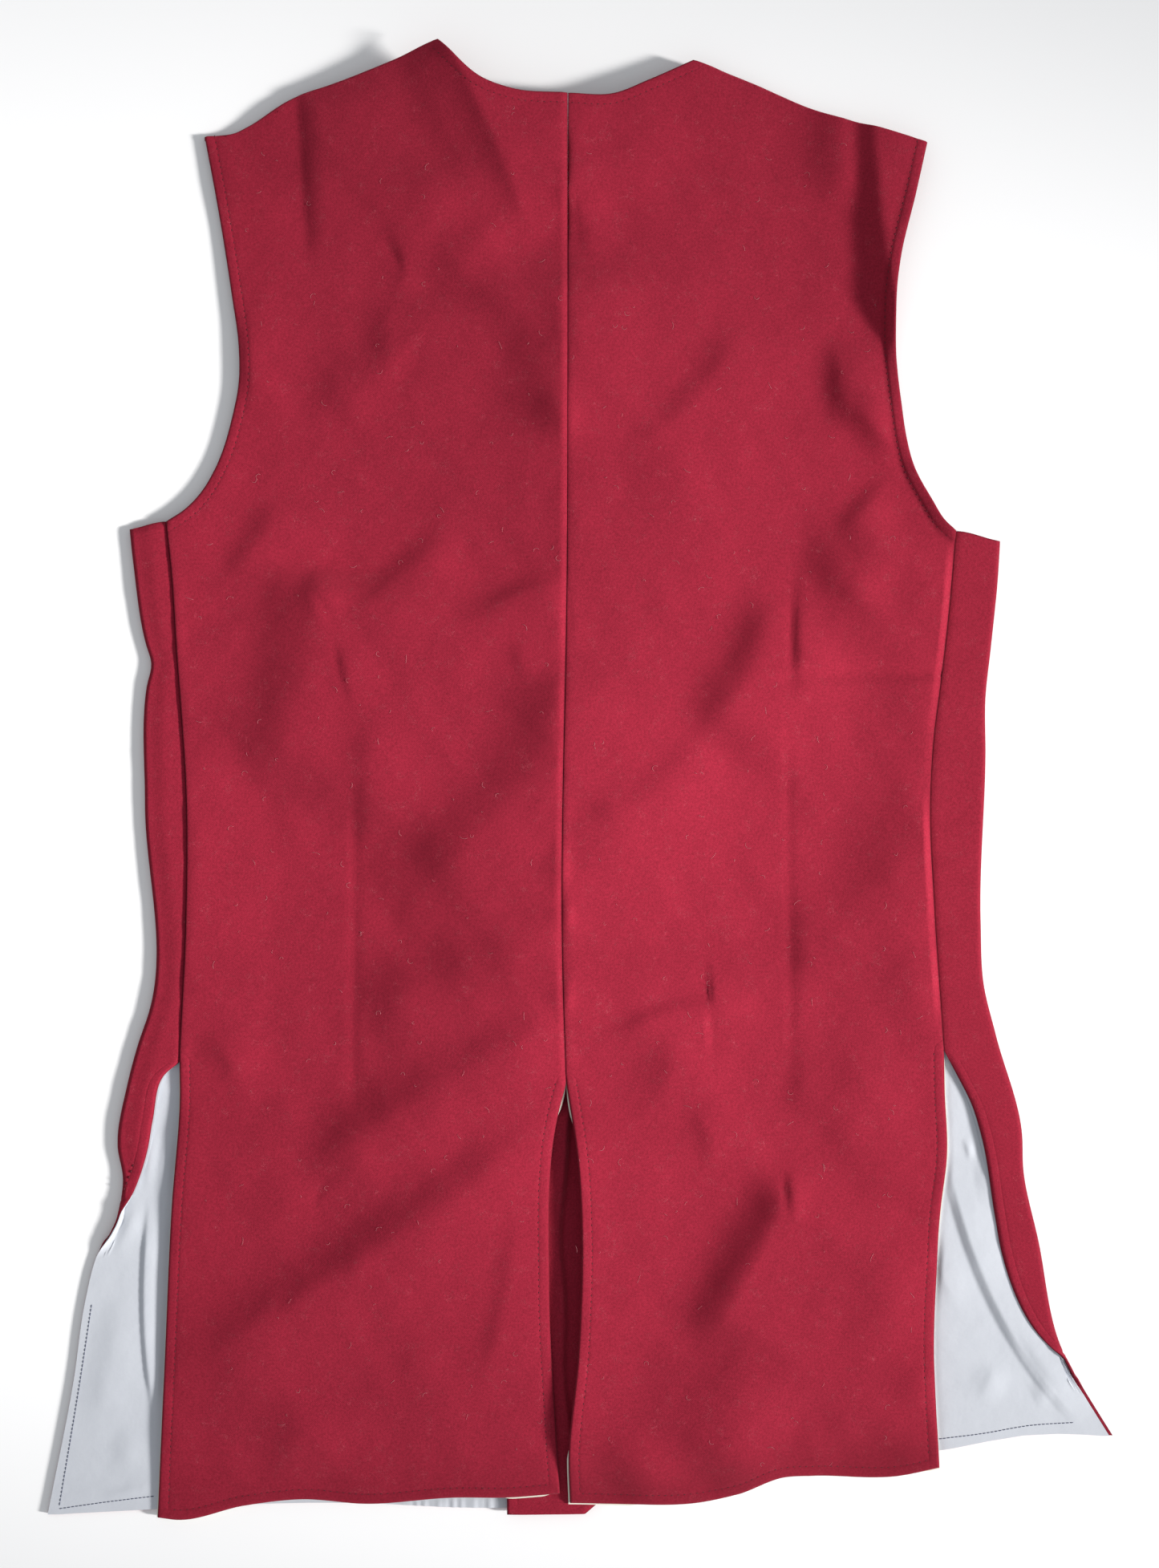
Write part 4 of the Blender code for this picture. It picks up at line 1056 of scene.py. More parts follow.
def back_plan(half):
    """The plan of one back half, its rows from the shoulder's roll down to the hem.

    It comes with the way out over each column's top, and how far each one rolls over the shoulder.
    """
    neck_share = 1 - closer_to_end(NECK_LENGTH, NECK_CELLS)[::-1]
    shoulder_share = closer_to_end(SHOULDER_LENGTH, SHOULDER_CELLS)
    top = joined(along(half.neck, neck_share), along(half.shoulder, shoulder_share))
    across = joined(neck_share * NECK_SPAN, NECK_SPAN + (1 - NECK_SPAN) * shoulder_share)
    rolls = rise((across - NECK_SPAN) / SHOULDER_ROLL_SPAN)
    out = across_row(top, (0, 1))
    roll_start = top - out * (SHOULDER_ROLL + rolls * WOOL / 2)[:, None]
    level = (BACK_SEAM[0][1] - half.seam[0][1]) / (BACK_SEAM[0][1] - BACK_SEAM[-1][1])
    below = np.linspace(ARMHOLE_START, ARMHOLE_LENGTH, ARMHOLE_ROWS)
    arm = np.concatenate([NEAR_SHOULDER, below]) / ARMHOLE_LENGTH
    body = np.linspace(0, 1, BODY_ROWS + 1)
    skirt = closer_to_end(SKIRT_LENGTH, SKIRT_ROWS)
    middle = joined(
        along(BACK_SEAM, arm * level),
        along(BACK_SEAM, level + body * (1 - level)),
        along(half.vent, skirt),
    )
    outer = joined(along(half.armhole, arm), along(half.seam, body), along(half.side_vent, skirt))
    seam_end = len(arm) + len(body) - 1
    middle[:seam_end, 0] += half.side * GAP / 2
    outer[len(arm) - 1 : seam_end, 0] -= half.side * GAP / 2
    hem_line = along(half.hem, across)
    roll_start[0, 0] += half.side * GAP / 2
    middle[0] = roll_start[0]
    middle[-1] = hem_line[0]
    outer[0] = roll_start[-1]
    outer[-1] = hem_line[-1]
    skirt_start = ARMHOLE_SPAN + BODY_SPAN
    spans = joined(arm * ARMHOLE_SPAN, ARMHOLE_SPAN + body * BODY_SPAN, skirt_start + skirt * SKIRT_SPAN)
    down = spans / (skirt_start + SKIRT_SPAN)
    return patch(roll_start, hem_line, middle, outer, across, down), out, rolls


def shoulder_turn(half, plan, out, rolls, top, under):
    """The rows that turn down over the shoulder: upper and lower points, edge and seam distances.

    At an angle up to a right one, a row lies out by its sine and down by one less its cosine, times
    the roll, and its wall leans by the angle. At the neck it runs straight on instead.
    """
    steps = np.linspace(1, 0, SHOULDER_ROLL_ROWS + 1)[:-1, None]
    angle = steps * np.pi / 2
    reach = SHOULDER_ROLL * ((1 - rolls) * steps + rolls * np.sin(angle))
    drop = SHOULDER_ROLL * rolls * (1 - np.cos(angle))
    turned = plan[0] + out * reach[..., None]
    turned_top, turned_under, edge, seam = back_top(half, turned[..., 0], turned[..., 1])
    level = rolls * (top[0] + under[0]) / 2 + (1 - rolls) * (turned_top + turned_under) / 2 - drop
    tilt = angle * rolls
    lean = np.dstack([out[None] * np.sin(tilt)[..., None], np.cos(tilt)])
    half_wall = lean * ((turned_top - turned_under) / 2)[..., None]
    middle = np.dstack([turned, level])
    return middle + half_wall, middle - half_wall, edge, seam


def painted_edge_shade(half, x, y, edge):
    """How much painted shade a back half gets: full outside the hem's stitches, less and less inside them.

    On the right half it gets painted shade under the armhole's stitches too.
    """
    past_stitches = np.maximum(away_from(half.hem, x, y) - STITCH_IN, 0)
    shade = HEM_SHADE[half.name] * bell(past_stitches, HEM_SHADE_WIDTH)
    painted_shade = np.maximum(bell(past_stitches, HEM_BAND_PAINTED_SHADE_WIDTH), shade)
    if half.side < 0:
        return painted_shade
    at_armhole = bell(away_from(half.armhole, x, y) - STITCH_IN, ARMHOLE_PAINTED_SHADE_WIDTH)
    return painted_shade + ARMHOLE_PAINTED_SHADE * at_armhole * (edge < ARMHOLE_PAINTED_SHADE_REACH)


def make_back(half, material):
    """One half of the back. Over the shoulder it turns down a quarter round.

    Where the middle seam is tightly closed, its mark is raised, so that its painted shade line fades.
    """
    plan, out, rolls = back_plan(half)
    x, y = plan[..., 0], plan[..., 1]
    top, under, edge, seam = back_top(half, x, y)
    turn_upper, turn_lower, turn_edge, turn_seam = shoulder_turn(half, plan, out, rolls, top, under)
    closed = SEAM_CLOSED * between(y, *SEAM_CLOSED_LEVELS, SEAM_CLOSED_FADE)
    closed = closed * (np.abs(x - BACK_SEAM[0][0]) < SEAM_CLOSED_FADE)
    marks = {
        "edge": np.concatenate([turn_edge, edge]),
        "seam": np.concatenate([turn_seam, seam + closed]),
        "painted_shade": np.concatenate([np.zeros_like(turn_edge), painted_edge_shade(half, x, y, edge)]),
    }
    upper = np.concatenate([turn_upper, np.dstack([plan, top])])
    lower = np.concatenate([turn_lower, np.dstack([plan, under])])
    return make_wall(f"back_{half.name}_wool", upper, lower, material, marks)


def peeping(half, rows):
    """How far the back's skirt lining shows past each free edge: middle vent, side vent, hem."""
    level = rows[..., 1]
    opening = rise((rows[1, :, 1] - level) / PEEP_START)
    vent = np.interp(level[:, 0], *VENT_PEEP[half.name])
    hem = np.interp(half.side * rows[-1, :, 0], *HEM_PEEP[half.name])
    return vent * opening[:, 0], SIDE_PEEP * opening[:, -1], hem


def make_back_lining(half, material):
    """The lining under the skirt of one back half, which peeps out along its free edges.

    It follows the wool beside the middle vent, and away from it lies on the front's lining.
    """
    plan, _, _ = back_plan(half)
    rows = plan[-(SKIRT_ROWS + len(NEAR_EDGE) + 2) :].copy()
    rows[0, :, 1] = np.minimum(rows[0, :, 1], SKIRT_LINING_TOP)
    vent, side_vent, hem = peeping(half, rows)
    rows[:, 0, 0] -= half.side * vent
    rows[:, -1, 0] += half.side * side_vent
    rows[-1, :, 1] -= hem
    x, y = rows[..., 0], rows[..., 1]
    lying = support(x, y) + side_rise(x, y, half.seam)
    follow = np.exp(-away_from(half.vent, x, y) / LINING_FOLLOW)
    height = lying + follow * (back_base(half, x, y) - lying) - GAP - LINING
    lower = np.dstack([rows, height])
    upper = np.dstack([rows, height + LINING])
    return make_wall(f"back_lining_{half.name}_cotton", upper, lower, material)


# The rows of a front from the underarm to the hem: their levels, how long the cloth turned round the
# side is, the angle that it turns through, its radius, and the x where the turn starts
Rows = namedtuple("Rows", "levels length angle radius start")


def turned_rows(front):
    """The rows of a front, closer together towards the end of its free edge.

    Where the strip is narrow, the cloth turns through less than a half round, and below the free
    edge the turn runs out.
    """
    side, seam, fold, free = front.side, front.seam, front.fold, front.free
    body = evenly(seam, BODY_ROWS)[:, 1]
    closer = 1 - np.linspace(1, 0, TURNED_ROWS + 1) ** ROW_CROWDING
    turned = seam[-1][1] + (free[-1][1] - seam[-1][1]) * closer
    opening = np.linspace(free[-1][1], free[-1][1] - RUN_OUT, RUN_OUT_ROWS + 1)
    flat = np.linspace(opening[-1], fold[-1][1], OPEN_ROWS[front.name] + 1)
    levels = joined(body, turned, opening, flat)
    edge = x_at(fold, levels)
    radius = turn_radius(levels)
    ends = np.where(levels >= seam[-1][1], x_at(seam, levels) + side * GAP / 2, x_at(free, levels))
    seen = side * (edge - ends)
    seen = np.where(levels < free[-1][1] - GAP, 0, np.maximum(seen, 0))
    angle = np.pi / 2 * (1 + rise(seen / (TURN_WIDTHS * radius)))
    last = angle[levels > free[-1][1] - GAP][-1]
    past = free[-1][1] - levels
    angle = np.where(past > 0, last * rise(1 - past / RUN_OUT), angle)
    length = np.maximum(np.pi * radius + seen - radius, np.pi * radius)
    some = np.maximum(angle, FLAT_ANGLE)
    reach = np.pi * radius * np.sin(np.minimum(some, np.pi / 2)) / some
    return Rows(levels, length, angle, radius, edge - side * reach)


def turned_runs(rows):
    """How far round the turn each column lies, in each row."""
    arc = np.pi * rows.radius[:, None]
    length = rows.length[:, None]
    bent = arc * (1 - STRIP_SHARE * (length - arc < STRIP_SHARE * arc))
    first = bent * np.linspace(0, 1, TURN_CELLS + 1)
    rest = bent + (length - bent) * np.linspace(0, 1, STRIP_CELLS + 1)[1:]
    return np.concatenate([first, rest], axis=1)


def turned_part(side, rows, run):
    """Middle points and inner normals of the cloth at given runs round the turn.

    Each row is an arc through its angle, and then straight on.
    """
    arc = np.pi * rows.radius[:, None]
    on_arc = np.minimum(run, arc)
    angle = np.maximum(rows.angle[:, None], FLAT_ANGLE)
    turn = angle * on_arc / arc
    x = arc / angle * np.sin(turn)
    z = arc / angle * (1 - np.cos(turn))
    past = run - on_arc
    x = x + past * np.cos(turn)
    z = z + past * np.sin(turn)
    level = np.broadcast_to(rows.levels[:, None], x.shape)
    middle = np.stack([rows.start[:, None] + side * x, level, z], axis=-1)
    inner = np.stack([-side * np.sin(turn), np.zeros_like(turn), np.cos(turn)], axis=-1)
    middle[..., 2] += WOOL / 2
    return middle, inner


Front = namedtuple("Front", "name side edge ramp seam fold free hem neck shoulder armhole")
LEFT_FRONT = Front(
    "left",
    -1,
    LEFT_FRONT_EDGE,
    (LEFT_LINING_EDGE,),
    SIDE_SEAM_LEFT,
    SIDE_FOLD_LEFT,
    FREE_EDGE_LEFT,
    FRONT_HEM_LEFT,
    FRONT_NECK_LEFT,
    SHOULDER_LEFT,
    ARMHOLE_LEFT,
)
RIGHT_FRONT = Front(
    "right",
    1,
    RIGHT_FRONT_EDGE,
    OVERLAP_RAMP,
    SIDE_SEAM_RIGHT,
    SIDE_FOLD_RIGHT,
    FREE_EDGE_RIGHT,
    FRONT_HEM_RIGHT,
    FRONT_NECK_RIGHT,
    SHOULDER_RIGHT,
    ARMHOLE_RIGHT,
)


def front_columns(front, start, foot_run):
    """The x of the flat columns of one row, from the front edge to the start of the turn."""
    first = np.array([front.edge, *front.ramp])
    foot = start - front.side * foot_run
    across = np.linspace(first[-1], foot, FLAT_CELLS + 1)[1:]
    return np.concatenate([first, across, [(foot + start) / 2, start]])


def front_height(front, x, y):
    """The middle of the flat cloth: on the floor, and over the other front on the right one."""
    if front.side < 0:
        return np.full_like(x, WOOL / 2)
    over = 1 - rise((x - OVERLAP_RAMP[0]) / (OVERLAP_RAMP[-1] - OVERLAP_RAMP[0]))
    return WOOL / 2 + over * overlap_lift(y)


# The grid of a front: the middle points and inner normals of its cloth, its kept cells, its rows
# from the underarm down, and how far round the turn their columns lie
Grid = namedtuple("Grid", "middle normal kept rows runs")


def lower_front(front, rows, runs, armhole_end):
    """The rows of a front from the underarm down: flat columns, then those round the turn."""
    foot_run = abs(rows.start[0] - armhole_end[0])
    flat_x = np.stack([front_columns(front, x, foot_run) for x in rows.start])
    share = ((rows.levels - rows.levels[-1]) / (rows.levels[0] - rows.levels[-1]))[:, None]
    flat_y = (1 - share) * y_at(front.hem, flat_x[-1]) + share * armhole_end[1]
    flat = np.dstack([flat_x, flat_y, front_height(front, flat_x, flat_y)])[:, :-1]
    turned, turned_normal = turned_part(front.side, rows, runs)
    normal = np.concatenate([np.broadcast_to([0.0, 0.0, 1.0], flat.shape), turned_normal], axis=1)
    return np.concatenate([flat, turned], axis=1), normal


def upper_front(front, base, armhole):
    """The rows of a front above the underarm, spread from its neck and shoulder down to a base row."""
    ramp = len(front.ramp)
    foot = len(base) - 1
    neck = np.stack([base[: ramp + 1, 0], y_at(front.neck, base[: ramp + 1, 0])], axis=1)
    shoulder = np.array(front.shoulder) - [front.side * ARMHOLE_TUCK, SHOULDER_TUCK]
    shoulder[0] = front.neck[-1]
    top = np.concatenate([neck, evenly(shoulder, foot - len(neck))])
    inner = evenly([top[0], base[0]], FRONT_ROWS)
    outer = evenly([top[-1], *armhole[1:]], FRONT_ROWS)
    pull = rise((np.arange(foot + 1) - ramp) / (foot - ramp))
    plan = patch(top, base, inner, outer, pull, np.linspace(0, 1, FRONT_ROWS + 1))
    return np.dstack([plan, front_height(front, plan[..., 0], plan[..., 1])])[:-1]


def front_grid(front):
    """The grid of one front. Its rows above the underarm end at the foot of the turn."""
    rows = turned_rows(front)
    runs = turned_runs(rows)
    armhole = np.array(front.armhole) - [front.side * ARMHOLE_TUCK, 0]
    armhole[-1] = np.array(front.seam[0]) - [front.side * ARMHOLE_TUCK / 2, ARMHOLE_TUCK]
    lower, lower_normal = lower_front(front, rows, runs, armhole[-1])
    foot = lower.shape[1] - runs.shape[1] - 2
    upper = np.zeros((FRONT_ROWS, lower.shape[1], 3))
    upper[:, : foot + 1] = upper_front(front, lower[0, : foot + 1, :2], armhole)
    middle = np.concatenate([upper, lower])
    upper_normal = np.broadcast_to([0.0, 0.0, 1.0], upper.shape)
    normal = np.concatenate([upper_normal, lower_normal])
    kept = all_cells(middle)
    kept[:FRONT_ROWS, foot:] = False
    return Grid(middle, normal, kept, rows, runs)


def strip_edges(front, rows, runs):
    """How far each place of the turned strip is from a stitched edge and from the side seam."""
    levels = rows.levels[:, None]
    from_end = rows.length[:, None] - runs
    above_vent = levels > front.seam[-1][1]
    under_arm = np.broadcast_to(front.seam[0][1] - levels, runs.shape)
    edge = np.where(above_vent, under_arm, np.minimum(from_end, under_arm))
    seam = np.where(above_vent, from_end, NO_SEAM)
    return edge, seam


def underarm_drop(front, below, share):
    """How far the strip's corner hangs down below the underarm, at shares of the way to the seam."""
    return UNDERARM_DROP[front.name] * rise(1 - below / UNDERARM_DROP_LENGTH) * (1 - rise(share))


def strip_relief(front, rows, runs, edge, seam):
    """The relief of a front round its side: its edges, a loft, slow waves, and the left one's fall.

    The loft grows from the edges as one less an exponential.
    """
    levels = rows.levels[:, None]
    relief = stitched_edge(edge) + seam_relief(seam, levels) + LOFT * (1 - np.exp(-edge / LOFT_WIDTH))
    relief = relief + STRIP_UNEVEN * uneven(levels * STRIP_WAVES, runs)
    if front.side > 0:
        return relief
    past_fold = runs - np.pi * rows.radius[:, None]
    return relief - FOLD_FALL * rise(1 - past_fold / FOLD_FALL_LENGTH)


def make_front(front, grid, material):
    """One front: flat on the floor, round the side fold, and up to the side seam or the vent.

    Its relief and marks are on the turned part, where that is past the fold's first quarter round,
    and the fold itself is marked for painted shade.
    """
    rows, runs = grid.rows, grid.runs
    turned = np.s_[FRONT_ROWS:, -runs.shape[1] :]
    edge, seam = strip_edges(front, rows, runs)
    first, full = RELIEF_RADII
    showing = rise((runs / rows.radius[:, None] - first) / (full - first))
    first, full = RELIEF_ANGLES
    lying_on = rise((rows.angle[:, None] - first) / (full - first))
    outer = np.full(grid.middle.shape[:2], WOOL / 2)
    outer[turned] += strip_relief(front, rows, runs, edge, seam) * showing * lying_on
    upper = grid.middle + grid.normal * WOOL / 2
    lower = grid.middle - grid.normal * outer[..., None]
    below = (rows.levels[0] - rows.levels)[:, None]
    drop = underarm_drop(front, below, runs / rows.length[:, None])
    upper[turned][..., 1] -= drop
    lower[turned][..., 1] -= drop
    round_fold = runs / (np.pi * rows.radius[:, None])
    # Painted shade on the side fold's round, over its lit turn
    painted_shade = rise((round_fold - FOLD_PAINTED_SHADE_RISE) / FOLD_PAINTED_SHADE_RISE) * rise((1 - round_fold) / FOLD_PAINTED_SHADE_FALL)
    marks = {
        "edge": (FAR, np.where(showing > SHOWING, edge, FAR)),
        "seam": (FAR, np.where(showing > SHOWING, seam, FAR)),
        "painted_shade": (0, FOLD_PAINTED_SHADE * painted_shade),
    }
    for mark, (elsewhere, values) in marks.items():
        marks[mark] = np.full(grid.middle.shape[:2], float(elsewhere))
        marks[mark][turned] = values
    return make_wall(f"front_{front.name}_wool", upper, lower, material, marks, grid.kept)


def finer_numbers(lengths, cell):
    """Row or column numbers that split the cells between a grid's lines, none longer than cell."""
    parts = np.maximum(1, np.ceil(lengths / cell)).astype(int)
    start = np.repeat(np.arange(len(parts)), parts)
    first = np.repeat(np.cumsum(parts) - parts, parts)
    share = (np.arange(parts.sum()) - first) / np.repeat(parts, parts)
    return np.append(start + share, len(parts))


def finer(grid, down, across):
    """A grid's places at row and column numbers between its own, straight from one to the next."""
    i = np.minimum(down.astype(int), grid.shape[0] - 2)
    share = (down - i)[:, None, None]
    rows = grid[i] * (1 - share) + grid[i + 1] * share
    j = np.minimum(across.astype(int), grid.shape[1] - 2)
    share = (across - j)[None, :, None]
    return rows[:, j] * (1 - share) + rows[:, j + 1] * share


def skirt_rows(grid):
    """The rows of a front that its skirt lining covers, the first one at the lining's top."""
    first = FRONT_ROWS + int(np.argmax(grid.rows.levels < SKIRT_LINING_TOP)) - 1
    middle = grid.middle[first:].copy()
    middle[0, :, 1] = SKIRT_LINING_TOP
    return middle, grid.normal[first:]


def lining_creases(front, x, y):
    """The creases of a skirt lining, only where nothing lies on it.

    Past the side vent they are its folds and slow waves. Below the back's hem the left lining is
    crinkled: a sine bent by a slower one, plus half a finer sine.
    """
    vent = SIDE_VENT_LEFT if front.side < 0 else SIDE_VENT_RIGHT
    free = rise((front.side * (x - x_at(vent, y)) - LINING_EDGE) / LINING_FADE)
    waves = LINING_UNEVEN * uneven(x * LINING_WAVES, y * LINING_WAVES)
    height = free * (mark_heights(LINING_CREASES[front.name], x, y) + LINING_SWELL + waves)
    if front.side > 0:
        return height
    below = rise((y_at(HEM_LEFT, x) - CRINKLE_START - y) / LINING_FADE)
    below = below * rise((x - CRINKLE_PLACES[0]) / CRINKLE_FADES[0])
    below = below * rise((CRINKLE_PLACES[1] - x) / CRINKLE_FADES[1])
    coarse, fine = (2 * np.pi * x / pitch for pitch in CRINKLE_PITCHES)
    crinkles = np.sin(coarse + 1.7 * np.sin(x * CRINKLE_BEND)) + 0.5 * np.sin(fine)
    return height + below * (CRINKLE_SWELL + CRINKLE_HEIGHT * crinkles)


def make_front_lining(front, grid, material):
    """The lining inside the skirt of a front, round the side with it.

    Where the cloth is turned over, its end peeps out from the free edge, and below that the right
    one's end is drawn in.
    """
    rows, up = (values[:, LINING_START[front.name] :] for values in skirt_rows(grid))
    twist = np.sin(grid.rows.angle[-len(rows) :])
    bent = np.arange(rows.shape[1])[::-1] < TURN_CELLS + STRIP_CELLS
    apart = WOOL / 2 + GAP + LINING / 2 + TWIST_GAP * twist[:, None] * bent
    rows = rows + up * apart[..., None]
    rows[:, 0, 0] += front.side * GAP
    out = rows[:, -1] - rows[:, -2]
    out = out / np.linalg.norm(out, axis=1)[:, None]
    turned = rows[:, -1, 1] > front.free[-1][1]
    opening = rise((front.seam[-1][1] - rows[:, -1, 1]) / PEEP_START) * (twist < FLAT_TWIST)
    rows[:, -1] += out * np.where(turned, STRIP_PEEP * opening, 0)[:, None]
    inset = np.where(turned, 0, -LINING_INSET[front.name])[:, None]
    share = np.linspace(0, 1, STRIP_CELLS + 1)[1:]
    rows[:, -STRIP_CELLS:] += out[:, None] * (inset * share)[..., None]
    down = finer_numbers(np.abs(np.diff(rows[:, 0, 1])), LINING_CELLS[0])
    across = finer_numbers(np.linalg.norm(np.diff(rows[-1], axis=0), axis=1), LINING_CELLS[1])
    rows, up = finer(rows, down, across), finer(up, down, across)
    raised = lining_creases(front, rows[..., 0], rows[..., 1]) * (up[..., 2] > FLAT_NORMAL)
    upper = rows + up * (LINING / 2 + raised)[..., None]
    lower = rows - up * LINING / 2
    return make_wall(f"front_lining_{front.name}_cotton", upper, lower, material)


def facing_lift(x, y):
    """How far the facing comes up in the middle vent, beside the left edge of the opening."""
    vent = x_at(BACK_VENT_LEFT, y)
    lift = back_base(LEFT_HALF, vent, y) - support(vent, y)
    start, fade = FACING_LIFT_LEFT
    left = rise((x - vent - start) / fade)
    end, fade = FACING_LIFT_RIGHT
    right = 1 - rise((x - vent - end - FACING_LIFT_WAVE * np.sin(y * FACING_LIFT_BEND)) / fade)
    below, fade = FACING_LIFT_TOP
    opening = rise((BACK_VENT_LEFT[0][1] - below - y) / fade)
    return FACING_LIFT * lift * left * right * opening


def make_facing(grid, material):
    """The facing inside the edge of the right front, as far as the start of its lining."""
    rows, up = (values[:, : LINING_START["right"] + 1] for values in skirt_rows(grid))
    rows = rows + up * (WOOL + GAP)
    down = finer_numbers(np.abs(np.diff(rows[:, 0, 1])), FACING_CELLS[0])
    across = finer_numbers(np.abs(np.diff(rows[-1, :, 0])), FACING_CELLS[1])
    middle = finer(rows, down, across)
    x, y = middle[..., 0], middle[..., 1]
    level = middle[..., 2] + facing_lift(x, y)
    edge = np.minimum(x - RIGHT_FRONT_EDGE, y - y_at(FRONT_HEM_RIGHT, x))
    upper = np.dstack([x, y, level + WOOL / 2 + stitched_edge(edge)])
    lower = np.dstack([x, y, level - WOOL / 2])
    marks = {"edge": edge, "seam": np.full(edge.shape, FAR)}
    return make_wall("front_facing_wool", upper, lower, material, marks)


def feed(tree, node, inputs):
    """Links or sets the inputs of a shader node, by their names or numbers."""
    for name, value in inputs.items():
        if isinstance(value, bpy.types.NodeSocket):
            tree.links.new(value, node.inputs[name])
        else:
            node.inputs[name].default_value = value


def make_node(tree, kind, inputs=None, **settings):
    """A shader node with its settings, values and links."""
    node = tree.nodes.new(kind)
    for name, value in settings.items():
        setattr(node, name, value)
    feed(tree, node, inputs or {})
    return node


def math(tree, operation, a, b=0.0, c=0.0):
    return make_node(tree, "ShaderNodeMath", {0: a, 1: b, 2: c}, operation=operation).outputs[0]


def blend(tree, factor, a, b, mode="MIX"):
    inputs = {0: factor, 6: a, 7: b}
    return make_node(tree, "ShaderNodeMix", inputs, data_type="RGBA", blend_type=mode).outputs[2]


def noise(tree, place, scale, detail, **more):
    inputs = {"Vector": place, "Scale": scale, "Detail": detail, **more}
    return make_node(tree, "ShaderNodeTexNoise", inputs).outputs[0]


def stretched(tree, value, low, high):
    """A value's share of the way from low to high, between 0 and 1."""
    return make_node(tree, "ShaderNodeMapRange", {0: value, 1: low, 2: high}).outputs[0]


def bump(tree, height, strength, distance, **more):
    inputs = {"Strength": strength, "Distance": distance, "Height": height, **more}
    return make_node(tree, "ShaderNodeBump", inputs).outputs[0]


def mark_of(tree, name):
    """A mark that a wall's points carry."""
    return make_node(tree, "ShaderNodeAttribute", attribute_name=name).outputs["Fac"]


def place_of(tree):
    return make_node(tree, "ShaderNodeTexCoord").outputs["Object"]


def new_group(name, inputs, outputs):
    """A shader node group with vector or number inputs and number outputs, and its two end nodes."""
    group = bpy.data.node_groups.new(name, "ShaderNodeTree")
    for label, value in inputs.items():
        kind = "NodeSocketVector" if value is None else "NodeSocketFloat"
        socket = group.interface.new_socket(label, in_out="INPUT", socket_type=kind)
        if value is not None:
            socket.default_value = value
    for label in outputs:
        group.interface.new_socket(label, in_out="OUTPUT", socket_type="NodeSocketFloat")
    return group, group.nodes.new("NodeGroupInput").outputs, group.nodes.new("NodeGroupOutput")


def plain_weave_group():
    """Threads over and under in two directions, as a height, and how uneven they are.

    The height is half the product of a sine each way, plus a half.
    """
    group, source, result = new_group("plain_weave", {"Vector": None, "Threads": 300.0}, ("Height", "Slub"))
    split = make_node(group, "ShaderNodeSeparateXYZ", {0: source["Vector"]})
    waves = []
    for axis in (0, 1):
        turns = math(group, "MULTIPLY", split.outputs[axis], source["Threads"])
        waves.append(math(group, "SINE", math(group, "MULTIPLY", turns, 2 * np.pi)))
    height = math(group, "MULTIPLY_ADD", math(group, "MULTIPLY", *waves), 0.5, 0.5)
    slub = noise(group, source["Vector"], math(group, "MULTIPLY", source["Threads"], 0.7), 1.0)
    feed(group, result, {"Height": height, "Slub": slub})
    return group


def nap_group():
    """Milled wool: cloudy shade, fine grain, short fibres, and a height of grain and fibres.

    The fibres are where a bent noise is close to a half, in the places where a coarser one is high.
    """
    group, source, result = new_group("wool_nap", {"Vector": None}, ("Cloud", "Grain", "Fibre", "Height"))
    place = source["Vector"]
    cloud = noise(group, place, 42.0, 5.0, Roughness=0.6)
    grain = noise(group, place, 800.0, 3.0, Roughness=0.8)
    bent = noise(group, place, 260.0, 2.0, Distortion=1.5)
    ridge = math(group, "ABSOLUTE", math(group, "SUBTRACT", bent, 0.5))
    line = math(group, "SMOOTH_MAX", math(group, "MULTIPLY_ADD", ridge, -60.0, 1.0), 0.0, 0.05)
    some = stretched(group, noise(group, place, 150.0, 0.0), 0.60, 0.72)
    fibre = math(group, "MULTIPLY", line, some)
    height = math(group, "MULTIPLY_ADD", fibre, 0.4, grain)
    feed(group, result, {"Cloud": cloud, "Grain": grain, "Fibre": fibre, "Height": height})
    return group


def edge_lines_group():
    """Bell-shaped lines for painted shade: the cut rim, the valley at the stitches' distance from it, and
    the seam.
    """
    names = ("Rim", "Valley", "Seam line")
    group, source, result = new_group("stitch_valley", {"Edge": FAR, "Seam": FAR}, names)
    lines = (
        ("Edge", 0.0, RIM_LINE_WIDTH),
        ("Edge", STITCH_IN, VALLEY_LINE_WIDTH),
        ("Seam", 0.0, SEAM_LINE_WIDTH),
    )
    for name, (distance, centre, width) in zip(names, lines):
        off = math(group, "DIVIDE", math(group, "SUBTRACT", source[distance], centre), width)
        square = math(group, "MULTIPLY", off, off)
        feed(group, result, {name: math(group, "EXPONENT", math(group, "MULTIPLY", square, -1.0))})
    return group


WEAVE = plain_weave_group()
NAP = nap_group()
EDGE_LINES = edge_lines_group()


def new_material(name):
    material = bpy.data.materials.new(name)
    material.use_nodes = True
    tree = material.node_tree
    return material, tree, tree.nodes["Principled BSDF"]


def use_group(tree, group, inputs):
    """The outputs of a node group that is placed in a material with its own values."""
    node = tree.nodes.new("ShaderNodeGroup")
    node.node_tree = group
    feed(tree, node, inputs)
    return node.outputs


